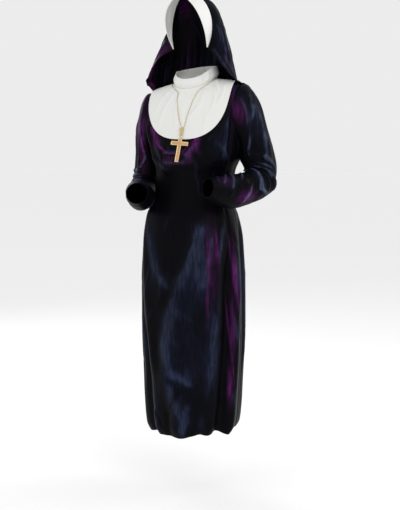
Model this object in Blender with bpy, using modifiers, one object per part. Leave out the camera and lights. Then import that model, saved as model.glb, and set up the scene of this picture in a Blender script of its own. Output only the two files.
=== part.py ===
"""Nun costume in its worn shape, with nobody inside: a black dress with long sleeves, a white bib with a
standing neck band, a white band and black veil for the head, and a cross on a chain.

Metres, +Z up. The dress faces -Y and its wearer's left is +X. The origin lies between the shoulders at the
base of the neck. Each cloth piece is a thin wall, lofted through the sections that a table names, with its
folds raised or sunk in it.
"""

import math

import bmesh
import bpy
import numpy as np
from mathutils import Matrix, Vector
from mathutils.bvhtree import BVHTree

for thing in list(bpy.data.objects):
    bpy.data.objects.remove(thing, do_unlink=True)

SEAM_GAP = 0.0003
LAY_GAP = 0.0009
SEAM_BLOCK = 1.6

DRESS_WALL = 0.0018
BIB_WALL = 0.0014
VEIL_WALL = 0.0012
BAND_WALL = 0.0020

FULL_TURN = 2 * math.pi


class Table:
    """Named rows of named columns, read at any run along the cloth on a smooth curve that never overshoots."""

    def __init__(self, columns, rows):
        self.columns = columns
        self.data = np.array(list(rows.values()), float)
        self.run = self.data[:, columns.index("run")]
        self.last = float(self.run[-1])
        step = np.diff(self.run)[:, None]
        rise = np.diff(self.data, axis=0) / step
        self.slopes = np.zeros_like(self.data)
        self.slopes[0] = rise[0]
        self.slopes[-1] = rise[-1]
        product = rise[:-1] * rise[1:]
        total = np.where(product > 0, rise[:-1] + rise[1:], 1.0)
        self.slopes[1:-1] = np.where(product > 0, 2 * product / total, 0.0)

    def read(self, run):
        """A dict from each column's name to its values at these runs."""
        run = np.asarray(run, float)
        below = np.clip(np.searchsorted(self.run, run, side="right") - 1, 0, len(self.run) - 2)
        length = (self.run[below + 1] - self.run[below])[..., None]
        t = (run - self.run[below])[..., None] / length
        a = self.data[below]
        b = self.data[below + 1]
        slope_a = self.slopes[below] * length
        slope_b = self.slopes[below + 1] * length
        curve = a * (1 + 2 * t) * (1 - t) ** 2 + slope_a * t * (1 - t) ** 2
        curve = curve + b * t**2 * (3 - 2 * t) + slope_b * t**2 * (t - 1)
        curve = np.where(t > 1, b + slope_b * (t - 1), curve)
        curve = np.where(t < 0, a + slope_a * t, curve)
        return {name: curve[..., i] for i, name in enumerate(self.columns)}


def signed_power(value, power):
    return np.sign(value) * np.abs(value) ** power


def smooth_step(value):
    value = np.clip(value, 0.0, 1.0)
    return value * value * (3 - 2 * value)


FOLD_SPREAD = 0.55


def fold_height(folds, across, along):
    """How far the folds lift the cloth at these places, both given in metres on the cloth.

    A fold is a soft ridge, or a trough where its height is negative, on the line from its start to its end.
    It dies out half_width to each side, and fades in and out over fade metres at its ends.
    """
    lift = np.zeros(np.broadcast(across, along).shape)
    for start_across, start_along, end_across, end_along, half_width, height, fade in folds.values():
        way = np.array([end_across - start_across, end_along - start_along])
        length = float(np.hypot(*way))
        way = way / length
        right = across - start_across
        down = along - start_along
        travelled = right * way[0] + down * way[1]
        beside = right * way[1] - down * way[0]
        ends = smooth_step(travelled / fade + 0.5) * smooth_step((length - travelled) / fade + 0.5)
        lift = lift + height * ends * np.exp(-((beside / (FOLD_SPREAD * half_width)) ** 2))
    return lift


NORMAL_TURN = 0.01
NORMAL_RUN = 0.002


def normals_of(skin, angle, run):
    """Unit normals of a skin, pointing out, from points a small step apart round it and down it."""
    across = skin(angle + NORMAL_TURN, run) - skin(angle - NORMAL_TURN, run)
    along = skin(angle, run + NORMAL_RUN) - skin(angle, run - NORMAL_RUN)
    normal = np.cross(along, across)
    return normal / np.linalg.norm(normal, axis=-1, keepdims=True)


# The dress body: rings from the neckline over the shoulders and down to the hem.

DRESS_SETBACK = 0.006
DRESS_SQUARENESS = 2.25
SHOULDER_CURVE = 1.5
DRESS_MEAN_RADIUS = 0.155
DRESS = Table(
    ("run", "half_width", "front", "back", "side_z", "front_z", "back_z", "shift", "lean"),
    {
        "neckline": (0.000, 0.071, 0.063, 0.060, 0.012, -0.014, 0.018, 0.005, 0.09),
        "collarbone": (0.035, 0.108, 0.080, 0.080, 0.006, -0.048, -0.002, 0.003, 0.09),
        "shoulder": (0.080, 0.152, 0.097, 0.102, -0.006, -0.098, -0.045, 0.002, 0.09),
        "shoulder_tip": (0.120, 0.171, 0.110, 0.112, -0.034, -0.138, -0.090, 0.003, 0.09),
        "armhole": (0.180, 0.172, 0.123, 0.118, -0.092, -0.178, -0.145, 0.005, 0.08),
        "bust": (0.235, 0.166, 0.130, 0.116, -0.152, -0.212, -0.190, 0.009, 0.05),
        "underarm": (0.310, 0.152, 0.124, 0.110, -0.238, -0.262, -0.250, 0.012, 0.03),
        "ribs": (0.355, 0.137, 0.114, 0.104, -0.292, -0.300, -0.296, 0.004, 0.02),
        "waist": (0.430, 0.134, 0.108, 0.100, -0.370, -0.372, -0.370, -0.004, 0.00),
        "high_hip": (0.505, 0.157, 0.122, 0.116, -0.445, -0.445, -0.445, -0.010, 0.00),
        "hip": (0.610, 0.167, 0.132, 0.126, -0.550, -0.550, -0.550, -0.009, 0.00),
        "thigh": (0.740, 0.173, 0.138, 0.134, -0.680, -0.680, -0.680, -0.007, 0.00),
        "knee": (0.900, 0.174, 0.138, 0.136, -0.840, -0.840, -0.840, -0.005, 0.00),
        "calf": (1.060, 0.168, 0.134, 0.132, -1.000, -1.000, -1.000, -0.004, 0.00),
        "shin": (1.180, 0.162, 0.129, 0.127, -1.120, -1.120, -1.120, -0.004, 0.01),
        "above_hem": (1.228, 0.156, 0.126, 0.124, -1.168, -1.166, -1.166, -0.004, 0.03),
        "hem": (1.256, 0.143, 0.116, 0.115, -1.190, -1.194, -1.192, -0.004, 0.05),
    },
)

# Across is metres round the body from the left side seam: -0.243 is the middle of the front, 0.243 of the back.
DRESS_FOLDS = {
    "under_bib_diagonal": (-0.262, 0.290, -0.165, 0.205, 0.034, 0.007, 0.05),
    "chest_left_drop": (-0.120, 0.190, -0.140, 0.330, 0.030, 0.006, 0.06),
    "chest_right_drop": (-0.395, 0.170, -0.385, 0.330, 0.030, 0.007, 0.06),
    "waist_swag": (-0.330, 0.330, -0.190, 0.345, 0.030, 0.006, 0.05),
    "long_diagonal": (-0.165, 0.520, -0.300, 1.120, 0.054, 0.012, 0.16),
    "left_front_ridge": (-0.115, 0.540, -0.140, 1.020, 0.034, 0.010, 0.14),
    "left_side_trough": (-0.060, 0.640, -0.105, 1.340, 0.048, -0.022, 0.22),
    "left_side_ridge": (-0.020, 0.560, -0.050, 1.340, 0.044, 0.012, 0.20),
    "right_front_ridge": (-0.400, 0.520, -0.330, 1.060, 0.044, 0.009, 0.16),
    "right_side_ridge": (-0.455, 0.620, -0.440, 1.340, 0.048, 0.009, 0.20),
    "right_hem_trough": (-0.385, 0.900, -0.370, 1.340, 0.044, -0.015, 0.18),
    "middle_hem_ridge": (-0.262, 1.060, -0.235, 1.340, 0.044, 0.012, 0.12),
    "middle_hem_trough": (-0.200, 1.060, -0.170, 1.340, 0.040, -0.012, 0.12),
    "back_left_ridge": (0.080, 0.500, 0.095, 1.340, 0.050, 0.012, 0.20),
    "back_left_trough": (0.140, 0.560, 0.150, 1.340, 0.046, -0.015, 0.20),
    "back_middle_ridge": (0.215, 0.520, 0.225, 1.340, 0.052, 0.013, 0.20),
    "back_middle_trough": (0.275, 0.620, 0.280, 1.340, 0.046, -0.014, 0.20),
    "back_right_ridge": (0.345, 0.520, 0.350, 1.340, 0.050, 0.012, 0.20),
    "back_right_trough": (0.420, 0.640, 0.415, 1.340, 0.046, -0.012, 0.20),
    "small_of_back": (0.150, 0.400, 0.330, 0.410, 0.038, -0.007, 0.08),
}


def bare_dress(angle, run):
    """The dress with no folds. Angle 0 is the left side seam and a quarter turn back from it the front."""
    size = DRESS.read(run)
    side = np.cos(angle)
    deep = np.sin(angle)
    in_front = deep < 0
    x = size["half_width"] * signed_power(side, 2 / DRESS_SQUARENESS) + size["shift"]
    depth = np.where(in_front, size["front"], size["back"])
    y = depth * signed_power(deep, 2 / DRESS_SQUARENESS) + DRESS_SETBACK
    end_z = np.where(in_front, size["front_z"], size["back_z"])
    z = size["side_z"] + (end_z - size["side_z"]) * np.abs(deep) ** SHOULDER_CURVE + size["lean"] * x
    return np.stack(np.broadcast_arrays(x, y, z), axis=-1)


def dress(angle, run, out=0.0):
    """The outside of the dress with its folds, or the skin that lies out metres off it."""
    around = (angle + math.pi) % FULL_TURN - math.pi
    lift = fold_height(DRESS_FOLDS, around * DRESS_MEAN_RADIUS, run) + out
    return bare_dress(angle, run) + normals_of(bare_dress, angle, run) * lift[..., None]


# The sleeves: tubes along the arm's line that start inside the body and are trimmed to its surface.

SLEEVE_COLUMNS = ("run", "x", "y", "z", "deep", "wide", "face_x", "face_y", "face_z")
LEFT_SLEEVE = Table(
    SLEEVE_COLUMNS,
    {
        "inside": (0.000, 0.110, 0.012, -0.100, 0.070, 0.094, 1.00, 0.00, -0.05),
        "armhole": (0.055, 0.165, 0.012, -0.100, 0.068, 0.102, 1.00, 0.00, -0.12),
        "cap": (0.090, 0.190, 0.014, -0.125, 0.063, 0.085, 0.93, 0.00, -0.37),
        "shoulder": (0.128, 0.202, 0.017, -0.161, 0.059, 0.071, 0.82, 0.02, -0.57),
        "upper_arm": (0.162, 0.209, 0.021, -0.194, 0.056, 0.063, 0.66, 0.06, -0.75),
        "above_elbow": (0.203, 0.217, 0.029, -0.233, 0.055, 0.059, 0.36, 0.08, -0.93),
        "elbow_top": (0.251, 0.228, 0.035, -0.279, 0.056, 0.055, 0.10, -0.10, -0.99),
        "elbow": (0.300, 0.231, 0.013, -0.321, 0.056, 0.052, -0.25, -0.70, -0.66),
        "below_elbow": (0.346, 0.211, -0.027, -0.340, 0.056, 0.049, -0.52, -0.83, -0.18),
        "forearm": (0.414, 0.173, -0.082, -0.353, 0.061, 0.044, -0.56, -0.83, 0.00),
        "wrist": (0.480, 0.138, -0.138, -0.346, 0.046, 0.038, -0.55, -0.82, 0.12),
        "cuff": (0.520, 0.117, -0.171, -0.338, 0.032, 0.033, -0.56, -0.82, 0.12),
    },
)
RIGHT_SLEEVE = Table(
    SLEEVE_COLUMNS,
    {
        "inside": (0.000, -0.105, 0.012, -0.118, 0.068, 0.088, -1.00, 0.00, -0.05),
        "armhole": (0.050, -0.155, 0.012, -0.121, 0.066, 0.097, -1.00, 0.00, -0.15),
        "cap": (0.070, -0.171, 0.014, -0.134, 0.061, 0.083, -0.97, 0.00, -0.25),
        "shoulder": (0.100, -0.177, 0.017, -0.163, 0.056, 0.068, -0.90, 0.02, -0.40),
        "upper_arm": (0.134, -0.179, 0.021, -0.196, 0.053, 0.053, -0.78, 0.06, -0.62),
        "above_elbow": (0.183, -0.180, 0.030, -0.244, 0.050, 0.046, -0.40, 0.08, -0.91),
        "elbow_top": (0.243, -0.186, 0.038, -0.305, 0.052, 0.045, -0.08, -0.12, -0.99),
        "elbow": (0.293, -0.188, 0.016, -0.350, 0.056, 0.046, 0.08, -0.75, -0.66),
        "below_elbow": (0.347, -0.178, -0.034, -0.371, 0.054, 0.045, 0.25, -0.95, -0.15),
        "forearm": (0.417, -0.158, -0.100, -0.373, 0.052, 0.043, 0.34, -0.93, 0.05),
        "wrist": (0.477, -0.140, -0.156, -0.366, 0.044, 0.040, 0.36, -0.92, 0.14),
        "cuff": (0.517, -0.127, -0.192, -0.360, 0.035, 0.036, 0.37, -0.91, 0.14),
    },
)
SLEEVE_MEAN_RADIUS = 0.054
# Across is metres round the sleeve: 0 at the front of the armhole and the top of the forearm, 0.085 outside.
LEFT_SLEEVE_FOLDS = {
    "cap_fan_front": (0.055, 0.090, 0.020, 0.180, 0.018, 0.004, 0.04),
    "cap_fan_outer": (0.085, 0.100, 0.050, 0.250, 0.018, 0.005, 0.05),
    "elbow_upper": (0.000, 0.262, 0.120, 0.300, 0.014, 0.005, 0.04),
    "elbow_lower": (0.000, 0.286, 0.110, 0.330, 0.014, 0.005, 0.04),
    "elbow_trough": (0.000, 0.274, 0.105, 0.314, 0.010, -0.005, 0.04),
    "forearm_diagonal": (0.010, 0.320, 0.110, 0.345, 0.014, 0.004, 0.04),
    "forearm_drop": (0.000, 0.400, 0.085, 0.380, 0.016, 0.004, 0.04),
    "wrist_drop": (0.000, 0.440, 0.080, 0.452, 0.012, 0.004, 0.03),
    "inner_elbow": (-0.110, 0.290, -0.040, 0.300, 0.016, -0.006, 0.03),
}
RIGHT_SLEEVE_FOLDS = {
    "front_drop": (-0.010, 0.090, -0.020, 0.250, 0.018, 0.005, 0.05),
    "outer_drop": (-0.060, 0.110, -0.055, 0.260, 0.018, 0.005, 0.05),
    "elbow_upper": (-0.120, 0.262, 0.000, 0.250, 0.014, 0.005, 0.04),
    "elbow_lower": (-0.115, 0.310, 0.000, 0.300, 0.014, 0.005, 0.04),
    "elbow_trough": (-0.120, 0.286, 0.000, 0.275, 0.012, -0.006, 0.04),
    "forearm_drop": (-0.100, 0.390, 0.010, 0.400, 0.016, 0.004, 0.04),
    "inner_elbow": (0.040, 0.300, 0.110, 0.290, 0.016, -0.006, 0.03),
}
SLEEVE_STATIONS = 120


def sleeve_skin(table, folds):
    """The outside of a sleeve, as a function of the angle round it and the run down it."""
    stations = np.linspace(table.run[0] - 0.03, table.last + 0.03, SLEEVE_STATIONS)
    size = table.read(stations)
    line = np.stack([size["x"], size["y"], size["z"]], axis=-1)
    heading = np.stack([size["face_x"], size["face_y"], size["face_z"]], axis=-1)
    heading /= np.linalg.norm(heading, axis=1, keepdims=True)
    side = np.array([0.0, -1.0, 0.0])
    sides = []
    for way in heading:
        side = side - way * (side @ way)
        side = side / np.linalg.norm(side)
        sides.append(side)
    sides = np.array(sides)
    ups = np.cross(sides, heading)

    def at(values, run):
        return np.stack([np.interp(run, stations, values[:, i]) for i in range(3)], axis=-1)

    def bare(angle, run):
        angle, run = np.broadcast_arrays(angle, run)
        here = table.read(run)
        beside = (np.cos(angle) * here["deep"])[..., None]
        above = (np.sin(angle) * here["wide"])[..., None]
        return at(line, run) + at(sides, run) * beside + at(ups, run) * above

    def skin(angle, run, out=0.0):
        around = (angle + math.pi) % FULL_TURN - math.pi
        lift = fold_height(folds, around * SLEEVE_MEAN_RADIUS, run) + out
        return bare(angle, run) + normals_of(bare, angle, run) * lift[..., None]

    return skin


left_sleeve = sleeve_skin(LEFT_SLEEVE, LEFT_SLEEVE_FOLDS)
right_sleeve = sleeve_skin(RIGHT_SLEEVE, RIGHT_SLEEVE_FOLDS)

# The bib: the dress's own points, moved out, cut to a big U in front and a shallow one behind.

BIB_HALF_WIDTH = 0.149
BIB_DROPS = {"front": 0.182, "back": 0.100}
BIB_ROUNDNESS = 2.6
BIB_OUT = LAY_GAP + BIB_WALL
BIB_OUTLINE_POINTS = 40
BIB_OUTLINE_TOP = 0.149


def bib_outline(drop):
    """Points of the U as (x, z): a superellipse below the origin's height and straight up above it."""
    turns = np.linspace(0, math.pi, BIB_OUTLINE_POINTS + 1)
    x = BIB_HALF_WIDTH * signed_power(np.cos(turns), 2 / BIB_ROUNDNESS)
    z = -drop * np.sin(turns) ** (2 / BIB_ROUNDNESS)
    top = [(-BIB_HALF_WIDTH, BIB_OUTLINE_TOP), (BIB_HALF_WIDTH, BIB_OUTLINE_TOP)]
    return list(zip(x, z)) + top


# The standing neck band, raised from the bib's neck edge.

COLLAR = Table(
    ("run", "out", "front_rise", "side_rise", "back_rise"),
    {
        "seam": (0.000, 0.000, 0.0003, 0.0003, 0.0003),
        "swell": (0.018, 0.005, 0.014, 0.017, 0.019),
        "top": (0.038, -0.002, 0.032, 0.040, 0.044),
    },
)
COLLAR_WAVES = {"three_bulges": (3, 0.6, 0.0035), "five_ripples": (5, 2.1, 0.0015)}


def collar(angle, run):
    size = COLLAR.read(run)
    foot = dress(angle, np.zeros(np.shape(angle)), BIB_OUT)
    deep = np.sin(angle)
    end_rise = np.where(deep < 0, size["front_rise"], size["back_rise"])
    rise = size["side_rise"] + (end_rise - size["side_rise"]) * np.abs(deep) ** SHOULDER_CURVE
    height = run / COLLAR.last
    out = size["out"]
    for count, phase, size_of_wave in COLLAR_WAVES.values():
        out = out + size_of_wave * height * np.sin(count * angle + phase)
    way = np.stack([np.cos(angle), deep, np.zeros(np.shape(angle))], axis=-1)
    up = np.array([0.0, 0.0, 1.0])
    return foot + way * out[..., None] + up * rise[..., None]


# The head's two pieces: arches from ear to ear over the crown. Each arch lies in a plane between its ends
# and its middle, and its turn is the head's, about an upright line.

HEAD_AXIS_Y = -0.020
ARCH_COLUMNS = ("run", "x", "y_end", "z_end", "y_mid", "z_mid", "half_width", "reach", "bow", "point", "turn")
POINT_SPREAD = math.radians(32)
BAND = Table(
    ARCH_COLUMNS,
    {
        "veil_edge": (0.000, 0.000, -0.008, 0.120, -0.026, 0.3035, 0.0838, 123, 0.018, 0.000, -14),
        "middle": (0.021, 0.000, -0.009, 0.119, -0.046, 0.3000, 0.0840, 122, 0.006, 0.002, -14),
        "face_edge": (0.042, 0.000, -0.010, 0.118, -0.064, 0.2860, 0.0800, 121, -0.012, 0.008, -14),
    },
)
VEIL = Table(
    ARCH_COLUMNS,
    {
        "band_edge": (0.000, 0.000, -0.008, 0.120, -0.026, 0.3035, 0.0838, 123, 0.018, 0.000, -14),
        "crown": (0.050, -0.004, -0.010, 0.112, 0.020, 0.300, 0.101, 122, 0.012, 0.000, -13),
        "back_of_crown": (0.105, -0.008, -0.014, 0.102, 0.066, 0.274, 0.115, 118, 0.006, 0.000, -12),
        "back_of_head": (0.165, -0.010, -0.018, 0.090, 0.098, 0.224, 0.126, 114, 0.000, 0.000, -11),
        "low_head": (0.225, -0.010, -0.020, 0.076, 0.112, 0.165, 0.134, 110, 0.000, 0.000, -9),
        "nape": (0.285, -0.009, -0.020, 0.060, 0.120, 0.105, 0.141, 106, 0.000, 0.000, -7),
        "neck": (0.345, -0.007, -0.018, 0.044, 0.124, 0.045, 0.148, 102, 0.000, 0.000, -4),
        "collar": (0.397, -0.005, -0.014, 0.030, 0.133, -0.008, 0.154, 99, 0.000, 0.000, -2),
        "shoulder": (0.452, -0.003, -0.004, 0.020, 0.146, -0.060, 0.158, 96, 0.000, 0.000, 0),
        "shoulder_blade": (0.518, 0.000, 0.012, 0.010, 0.158, -0.124, 0.161, 92, 0.000, 0.000, 0),
        "upper_back": (0.588, 0.000, 0.040, -0.010, 0.164, -0.193, 0.160, 89, 0.000, 0.000, 0),
        "middle_back": (0.660, 0.000, 0.072, -0.048, 0.163, -0.263, 0.152, 87, 0.000, 0.000, 0),
        "hem": (0.728, 0.000, 0.098, -0.098, 0.158, -0.330, 0.141, 86, 0.000, 0.000, 0),
    },
)
VEIL_HALF_SPAN = 0.24
# Across is metres from the middle of the veil, to the wearer's left.
VEIL_FOLDS = {
    "left_temple": (0.150, 0.030, 0.190, 0.330, 0.018, 0.004, 0.06),
    "left_ear": (0.190, 0.060, 0.215, 0.420, 0.018, 0.005, 0.08),
    "left_flute": (0.110, 0.220, 0.175, 0.800, 0.026, 0.012, 0.14),
    "left_hollow": (0.078, 0.260, 0.120, 0.800, 0.024, -0.009, 0.14),
    "middle_left_flute": (0.045, 0.240, 0.070, 0.800, 0.026, 0.014, 0.14),
    "middle_hollow": (0.005, 0.280, 0.014, 0.800, 0.024, -0.010, 0.14),
    "middle_right_flute": (-0.040, 0.230, -0.048, 0.800, 0.026, 0.011, 0.14),
    "right_hollow": (-0.080, 0.270, -0.108, 0.800, 0.024, -0.009, 0.14),
    "right_flute": (-0.115, 0.210, -0.160, 0.800, 0.026, 0.013, 0.14),
    "right_ear": (-0.180, 0.060, -0.200, 0.420, 0.020, 0.005, 0.08),
    "right_corner": (-0.240, 0.450, -0.230, 0.560, 0.060, 0.012, 0.10),
}


def arch(table, share, run):
    """The arch at this run. Share is -1 at the wearer's left end, 0 over the crown and 1 at the right end."""
    size = table.read(run)
    reach = np.radians(size["reach"])
    turned = share * reach
    q = (np.cos(turned) - np.cos(reach)) / (1 - np.cos(reach))
    x = size["x"] - size["half_width"] * np.sin(turned)
    y = size["y_end"] + (size["y_mid"] - size["y_end"]) * q + size["bow"] * np.sin(math.pi * np.abs(share))
    cusp = size["point"] * np.clip(1 - np.abs(turned) / POINT_SPREAD, 0.0, 1.0)
    z = size["z_end"] + (size["z_mid"] - size["z_end"]) * q + cusp
    turn = np.radians(size["turn"])
    turned_x = x * np.cos(turn) - y * np.sin(turn)
    turned_y = x * np.sin(turn) + y * np.cos(turn) + HEAD_AXIS_Y
    return np.stack(np.broadcast_arrays(turned_x, turned_y, z), axis=-1)


def band(share, run):
    return arch(BAND, share, run)


def bare_veil(share, run):
    return arch(VEIL, share, run)


def veil(share, run):
    lift = fold_height(VEIL_FOLDS, -share * VEIL_HALF_SPAN, run)
    return bare_veil(share, run) + normals_of(bare_veil, share, run) * lift[..., None]


# Where the veil lies on the shoulders and the back.

VEIL_REST = 0.0046
REST_PASSES = 3
REST_SEARCH = 0.045
REST_ANGLES = np.linspace(0, FULL_TURN, 73)
REST_DRESS_RUNS = np.linspace(-0.010, 0.60, 60)
REST_SLEEVE_RUNS = np.linspace(0.04, 0.52, 40)


def grid_faces(rows, columns):
    """Quads between the rows of a grid, facing out where angles turn left and rows run down."""
    faces = []
    for i in range(rows - 1):
        for j in range(columns - 1):
            corner = i * columns + j
            faces.append((corner, corner + columns, corner + columns + 1, corner + 1))
    return faces


def rest_on(points, skins):
    """The points, moved out of the skins and to VEIL_REST off them where they lie closer or inside."""
    for _ in range(REST_PASSES):
        for skin in skins:
            rows, columns = skin.shape[:2]
            tree = BVHTree.FromPolygons([tuple(p) for p in skin.reshape(-1, 3)], grid_faces(rows, columns))
            for index in np.ndindex(points.shape[:2]):
                near, normal, _, _ = tree.find_nearest(Vector(points[index]), REST_SEARCH)
                if near is not None and (Vector(points[index]) - near).dot(normal) < VEIL_REST:
                    points[index] = near + normal * VEIL_REST
    return points


# Building objects from these shapes.

garment = bpy.data.collections.new("nun_costume")
cutters = bpy.data.collections.new("cutters")


def finish(name, colour, roughness, metallic=0.0, sheen=0.0):
    material = bpy.data.materials.new(name)
    material.use_nodes = True
    shader = material.node_tree.nodes["Principled BSDF"]
    shader.inputs["Base Color"].default_value = (*colour, 1.0)
    shader.inputs["Roughness"].default_value = roughness
    shader.inputs["Metallic"].default_value = metallic
    shader.inputs["Sheen Weight"].default_value = sheen
    return material


def black_velour(name):
    return finish(name, (0.008, 0.007, 0.012), 0.55, sheen=0.4)


def white_cotton(name):
    return finish(name, (0.80, 0.80, 0.78), 0.80)


def white_jersey(name):
    return finish(name, (0.84, 0.83, 0.80), 0.62)


def gold_alloy(name):
    return finish(name, (0.83, 0.60, 0.28), 0.30, metallic=1.0)


def place(name, mesh, material=None, collection=garment):
    thing = bpy.data.objects.new(name, mesh)
    collection.objects.link(thing)
    if material:
        mesh.materials.append(material)
    if collection is cutters:
        thing.hide_render = True
        thing.display_type = "WIRE"
    return thing


def cloth(name, points, wall, material, closed_round=False):
    """A piece of cloth: an open sheet through the grid of points, given its wall on the inside."""
    rows, columns = points.shape[:2]
    mesh = bpy.data.meshes.new(name)
    mesh.from_pydata([tuple(p) for p in points.reshape(-1, 3)], [], grid_faces(rows, columns))
    if closed_round:
        bm = bmesh.new()
        bm.from_mesh(mesh)
        bmesh.ops.remove_doubles(bm, verts=bm.verts, dist=0.0001)
        bm.to_mesh(mesh)
        bm.free()
    mesh.shade_smooth()
    piece = place(name, mesh, material)
    thickness = piece.modifiers.new("wall", "SOLIDIFY")
    thickness.thickness = wall
    thickness.offset = -1.0
    thickness.use_quality_normals = True
    return piece


def filled_tube(name, points):
    """A cutter: the solid inside a closed skin of rings, with its two ends filled."""
    rows, columns = points.shape[:2]
    bm = bmesh.new()
    rings = [[bm.verts.new(p) for p in ring[:-1]] for ring in points]
    for upper, lower in zip(rings, rings[1:]):
        for j in range(columns - 1):
            k = (j + 1) % (columns - 1)
            bm.faces.new([upper[j], lower[j], lower[k], upper[k]])
    for ring in (rings[0], rings[-1][::-1]):
        middle = bm.verts.new(sum((v.co for v in ring), Vector()) / len(ring))
        for a, b in zip(ring, ring[1:] + ring[:1]):
            bm.faces.new([middle, a, b])
    bmesh.ops.recalc_face_normals(bm, faces=bm.faces)
    mesh = bpy.data.meshes.new(name)
    bm.to_mesh(mesh)
    bm.free()
    return place(name, mesh, collection=cutters)


def combine(piece, other, operation):
    step = piece.modifiers.new(operation.lower(), "BOOLEAN")
    step.operation = operation
    step.solver = "EXACT"
    step.object = other


def box(name, size, centre, collection=garment, material=None):
    bm = bmesh.new()
    bmesh.ops.create_cube(bm, size=1.0)
    bmesh.ops.scale(bm, vec=Vector(size), verts=bm.verts)
    bmesh.ops.translate(bm, vec=Vector(centre), verts=bm.verts)
    mesh = bpy.data.meshes.new(name)
    bm.to_mesh(mesh)
    bm.free()
    return place(name, mesh, material, collection)


SEAM_WAYS = {"front": -1, "back": 1}


def build_seam_blocks():
    """Two big blocks that take away the back or the front at the side seams, which lie in an upright plane."""
    blocks = {}
    for side, way in SEAM_WAYS.items():
        centre = (0.0, DRESS_SETBACK - way * (SEAM_BLOCK - SEAM_GAP) / 2, -SEAM_BLOCK / 3)
        blocks[side] = box(f"all_but_{side}", (SEAM_BLOCK, SEAM_BLOCK, 2 * SEAM_BLOCK), centre, cutters)
    return blocks


def build_bib_prism(side):
    """The bib's U outline drawn out from the seam plane to well past the cloth."""
    way = SEAM_WAYS[side]
    seam_y = DRESS_SETBACK + way * SEAM_GAP / 2
    bm = bmesh.new()
    outline = [bm.verts.new((x, seam_y, z)) for x, z in bib_outline(BIB_DROPS[side])]
    start = bm.faces.new(outline)
    drawn = bmesh.ops.extrude_face_region(bm, geom=[start])
    far = [v for v in drawn["geom"] if isinstance(v, bmesh.types.BMVert)]
    bmesh.ops.translate(bm, vec=Vector((0.0, way * BIB_HALF_WIDTH * 2, 0.0)), verts=far)
    bmesh.ops.recalc_face_normals(bm, faces=bm.faces)
    mesh = bpy.data.meshes.new(f"bib_{side}_outline")
    bm.to_mesh(mesh)
    bm.free()
    return place(f"bib_{side}_outline", mesh, collection=cutters)


# The dress: front and back panels, which meet at the side and shoulder seams, and the sleeves set into them.

PANEL_COLUMNS = 20
SHOULDER_RUNS = np.linspace(0.0, 0.18, 11, endpoint=False)
CHEST_RUNS = np.linspace(0.18, 0.47, 10, endpoint=False)
SKIRT_RUNS = np.linspace(0.47, DRESS.last, 13)
DRESS_RUNS = np.concatenate([SHOULDER_RUNS, CHEST_RUNS, SKIRT_RUNS])
RING_STEP = FULL_TURN / (2 * PANEL_COLUMNS)
RING_ANGLES = np.linspace(RING_STEP / 2, FULL_TURN + RING_STEP / 2, 2 * PANEL_COLUMNS + 1)
ARMHOLE_RUNS = np.linspace(-0.015, 0.150, 8)
TRIM_RUNS = DRESS_RUNS[DRESS_RUNS < 0.62]
SLEEVE_COLUMNS_ROUND = 18
SLEEVE_ANGLES = np.linspace(-math.pi, math.pi, SLEEVE_COLUMNS_ROUND + 1)
SLEEVE_ROWS = 20


def build_dress(seam_blocks):
    body = filled_tube("body_trim", dress(*np.meshgrid(RING_ANGLES, TRIM_RUNS), out=2 * SEAM_GAP))
    armholes = []
    for side, skin, table in (("left", left_sleeve, LEFT_SLEEVE), ("right", right_sleeve, RIGHT_SLEEVE)):
        runs = np.linspace(0.0, table.last, SLEEVE_ROWS + 1)
        sleeve = cloth(
            f"sleeve_{side}",
            skin(*np.meshgrid(SLEEVE_ANGLES, runs)),
            DRESS_WALL,
            black_velour(f"velour_sleeve_{side}"),
            closed_round=True,
        )
        combine(sleeve, body, "DIFFERENCE")
        hole = skin(*np.meshgrid(SLEEVE_ANGLES, ARMHOLE_RUNS), out=-DRESS_WALL)
        armholes.append(filled_tube(f"armhole_{side}", hole))
    for side, block in seam_blocks.items():
        points = dress(*np.meshgrid(RING_ANGLES, DRESS_RUNS))
        panel = cloth(f"dress_{side}", points, DRESS_WALL, black_velour(f"velour_{side}"), closed_round=True)
        for cutter in (block, *armholes):
            combine(panel, cutter, "DIFFERENCE")


# The bib and its neck band.

BIB_RUNS = DRESS_RUNS[DRESS_RUNS < 0.30]
COLLAR_ROWS = 3


def build_bib():
    for side in SEAM_WAYS:
        points = dress(*np.meshgrid(RING_ANGLES, BIB_RUNS), out=BIB_OUT)
        half = cloth(f"bib_{side}", points, BIB_WALL, white_cotton(f"cotton_bib_{side}"), closed_round=True)
        combine(half, build_bib_prism(side), "INTERSECT")
    points = collar(*np.meshgrid(RING_ANGLES, np.linspace(COLLAR.last, 0.0, COLLAR_ROWS + 1)))
    cloth("bib_neckband", points, BIB_WALL, white_cotton("cotton_neckband"), closed_round=True)


# The headdress.

BAND_COLUMNS = 28
BAND_ROWS = 3
BAND_END_SHARE = 0.985
VEIL_COLUMNS = 28
HEAD_RUNS = np.linspace(0.040, 0.310, 7)
VEIL_SHOULDER_RUNS = np.linspace(0.345, 0.555, 11)
VEIL_HEM_RUNS = np.linspace(0.590, VEIL.last, 4)
VEIL_RUNS = np.concatenate([[2 * SEAM_GAP], HEAD_RUNS, VEIL_SHOULDER_RUNS, VEIL_HEM_RUNS])


def build_headdress():
    shares = np.linspace(-1, 1, BAND_COLUMNS + 1) * BAND_END_SHARE
    points = band(*np.meshgrid(shares, np.linspace(BAND.last, 0.0, BAND_ROWS + 1)))
    cloth("headband", points, BAND_WALL, white_jersey("jersey_headband"))
    points = veil(*np.meshgrid(np.linspace(-1, 1, VEIL_COLUMNS + 1), VEIL_RUNS))
    skins = [dress(*np.meshgrid(REST_ANGLES, REST_DRESS_RUNS), out=BIB_OUT)]
    for skin in (left_sleeve, right_sleeve):
        skins.append(skin(*np.meshgrid(REST_ANGLES, REST_SLEEVE_RUNS)))
    cloth("veil", rest_on(points, skins), VEIL_WALL, black_velour("velour_veil"))


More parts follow.
